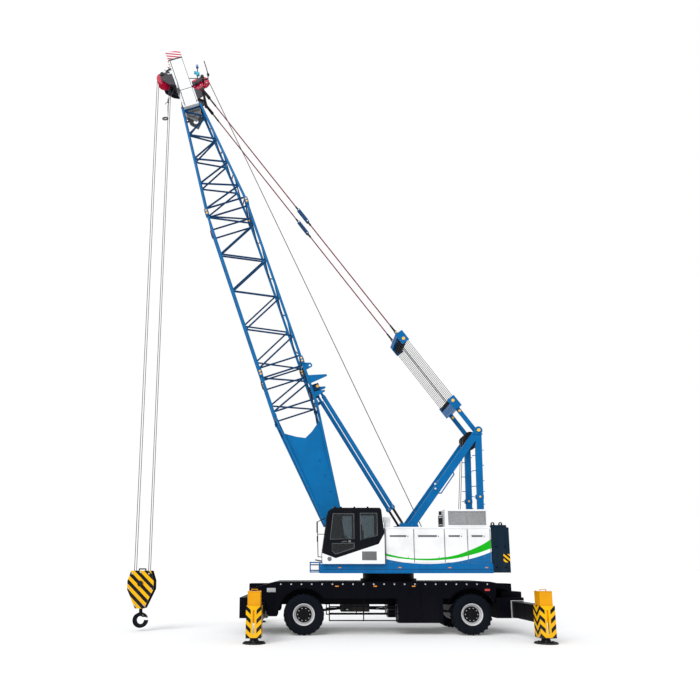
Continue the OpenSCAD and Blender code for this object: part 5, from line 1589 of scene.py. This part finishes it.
def backstop_stub(bm, along, y, side, length, radius, sides):
    """A stub out of a backstop's side, so far along it from its foot."""
    start = backstop_foot + backstop_up * along + Vector((0, y, 0))
    bar(bm, start, start + Vector((0, side * length, 0)), radius, sides)


def collar_bolts(bm):
    for y in (-backstop_y, backstop_y):
        for along in (0.79, 0.84):
            for side in (-1, 1):
                backstop_stub(bm, along, y + side * collar_face, side, 0.018, 0.016, 6)


def backstop_eyes(bm):
    for y in (-backstop_y, backstop_y):
        for side in (-1, 1):
            backstop_stub(bm, backstop_length, y + side * lug_face, side, 0.016, 0.055, 20)
            backstop_stub(bm, backstop_length, y + side * lug_face, side, 0.028, 0.025, 6)


piece("backstop_collar_bolts", collar_bolts, zinc, "backstop_tube", smooth=40)
piece("backstop_eye_caps", backstop_eyes, pin_yellow, "boom", smooth=40)

# Hoist rope: steel wire rope from the rear winch through a plate in the roof, up behind the boom.
# It goes over the upper guide sheave and down to the main sheaves. The free part is cut into short straight
# lengths.
rope_y = 0.10
rope_radius = 0.016
guide_groove = 0.230
roof_hole_x = 1.60
first_touch_deg = 5.6
free_steps = 60
guide_steps = 10


def round_guide(degrees):
    """A point of the rope on the upper guide sheave, its angle taken from straight behind."""
    angle = math.radians(degrees)
    s, y, t = guide_sheaves[1]
    return at_head(s + guide_groove * math.sin(angle), rope_y, t + guide_groove * math.cos(angle))


def hoist_line(bm):
    start = at(roof_hole_x, rope_y, 3.62)
    finish = round_guide(first_touch_deg)
    points = [start + (finish - start) * (i / free_steps) for i in range(free_steps + 1)]
    for first, second in zip(points, points[1:]):
        bar(bm, first, second, rope_radius, 6)


def over_the_head(bm):
    points = [round_guide(first_touch_deg + 10 * i) for i in range(guide_steps)]
    s, t = main_sheave
    points += [at_head(s + 0.257, rope_y, t + 0.03), at_head(s + 0.18, rope_y, t - 0.18)]
    pipe(bm, points, rope_radius, 6)


def rope_entry(bm):
    panel(bm, rope_y, 0.20, (roof_hole_x - 0.15, roof_hole_x + 0.15), (3.605, 3.63), 0.006)
    bar(bm, at(1.83, rope_y, 2.74), at(roof_hole_x, rope_y, 3.62), rope_radius, 8)


line = piece("hoist_line", hoist_line, wire_rope, None, smooth=60)
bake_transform(line)
piece("hoist_line_over_head", over_the_head, wire_rope, "boom", smooth=60)
piece("rope_entry", rope_entry, wire_rope, "upper")

# Hook block: two thick black cheek plates, the near one painted with diagonal yellow and black bands.
# They are bolted together round a capped boss, with a bow on top. The forged hook below is plain black, and
# has a sprung wire latch across its throat.
hook_x = -8.7087
boss_z = 1.68
cheek_face = 0.21
near_cheek_y, near_cheek_reach = -0.30, 0.1405
cheek_band_pitch = 0.34
cheek_bolt_places = ((-0.30, 2.03), (0.30, 2.03), (-0.40, 1.50), (0.40, 1.50), (-0.16, 0.92), (0.16, 0.92),
                     (0, 2.08))
block_bow = ((-0.12, 2.08), (-0.12, 2.20), (0.12, 2.20), (0.12, 2.08))
latch_pivot = (hook_x + 0.10, 0.56)
latch_tip = (hook_x + 0.26, 0.45)


def cheek_bands(tree):
    slant = reach_along(tree, (1, 0, 1))
    band = stripes(tree, slant, cheek_band_pitch)
    on_near_cheek = below(tree, off_centre(tree, "Y", near_cheek_y), near_cheek_reach)
    banded = either_colour(tree, band, stripe_yellow, stripe_black)
    return either_colour(tree, on_near_cheek, stripe_black, banded)


cheek_paint = enamel("cheek_paint", stripe_yellow, rough=0.3, dust_top=2, dust=0.08, marked=cheek_bands)
finish_in(cheek_paint, "hook_block")
hook_black = enamel("hook_black", (0.004, 0.005, 0.008), rough=0.5, dust_top=2, dust=0.02, coat=0, shine=0.06)
finish_in(hook_black, "hook")


def block_boss(bm):
    cross_bar(bm, hook_x, boss_z, -0.238, -0.255, 0.10, 28)
    cross_bar(bm, hook_x, boss_z, -0.25, -0.27, 0.06, 20)
    pipe(bm, [at(hook_x + dx, 0, z) for dx, z in block_bow], 0.022)
    panel(bm, 0, 0.34, (hook_x - 0.18, hook_x + 0.18), (2.02, 2.09), 0.01)


def cheek_bolts(bm):
    for dx, z in cheek_bolt_places:
        for side in (-1, 1):
            cross_bar(bm, hook_x + dx, z, side * cheek_face, side * (cheek_face + 0.022), 0.028, 6)


def hook_latch(bm):
    for y in (0.035, -0.035):
        bar(bm, at(latch_pivot[0], y, latch_pivot[1]), at(latch_tip[0], y, latch_tip[1]), 0.010, 8)
    cross_bar(bm, latch_pivot[0], latch_pivot[1], -0.075, 0.075, 0.014, 10)


piece("block_boss", block_boss, rubber_black, "block", smooth=40)
piece("cheek_bolts", cheek_bolts, zinc, "block", smooth=40)
piece("hook_latch", hook_latch, zinc, "hook_body", smooth=40)

# Sizes: the box round the dressed model is found, with the floor left out. The dressed crane has
# to stay inside the first.
low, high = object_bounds()
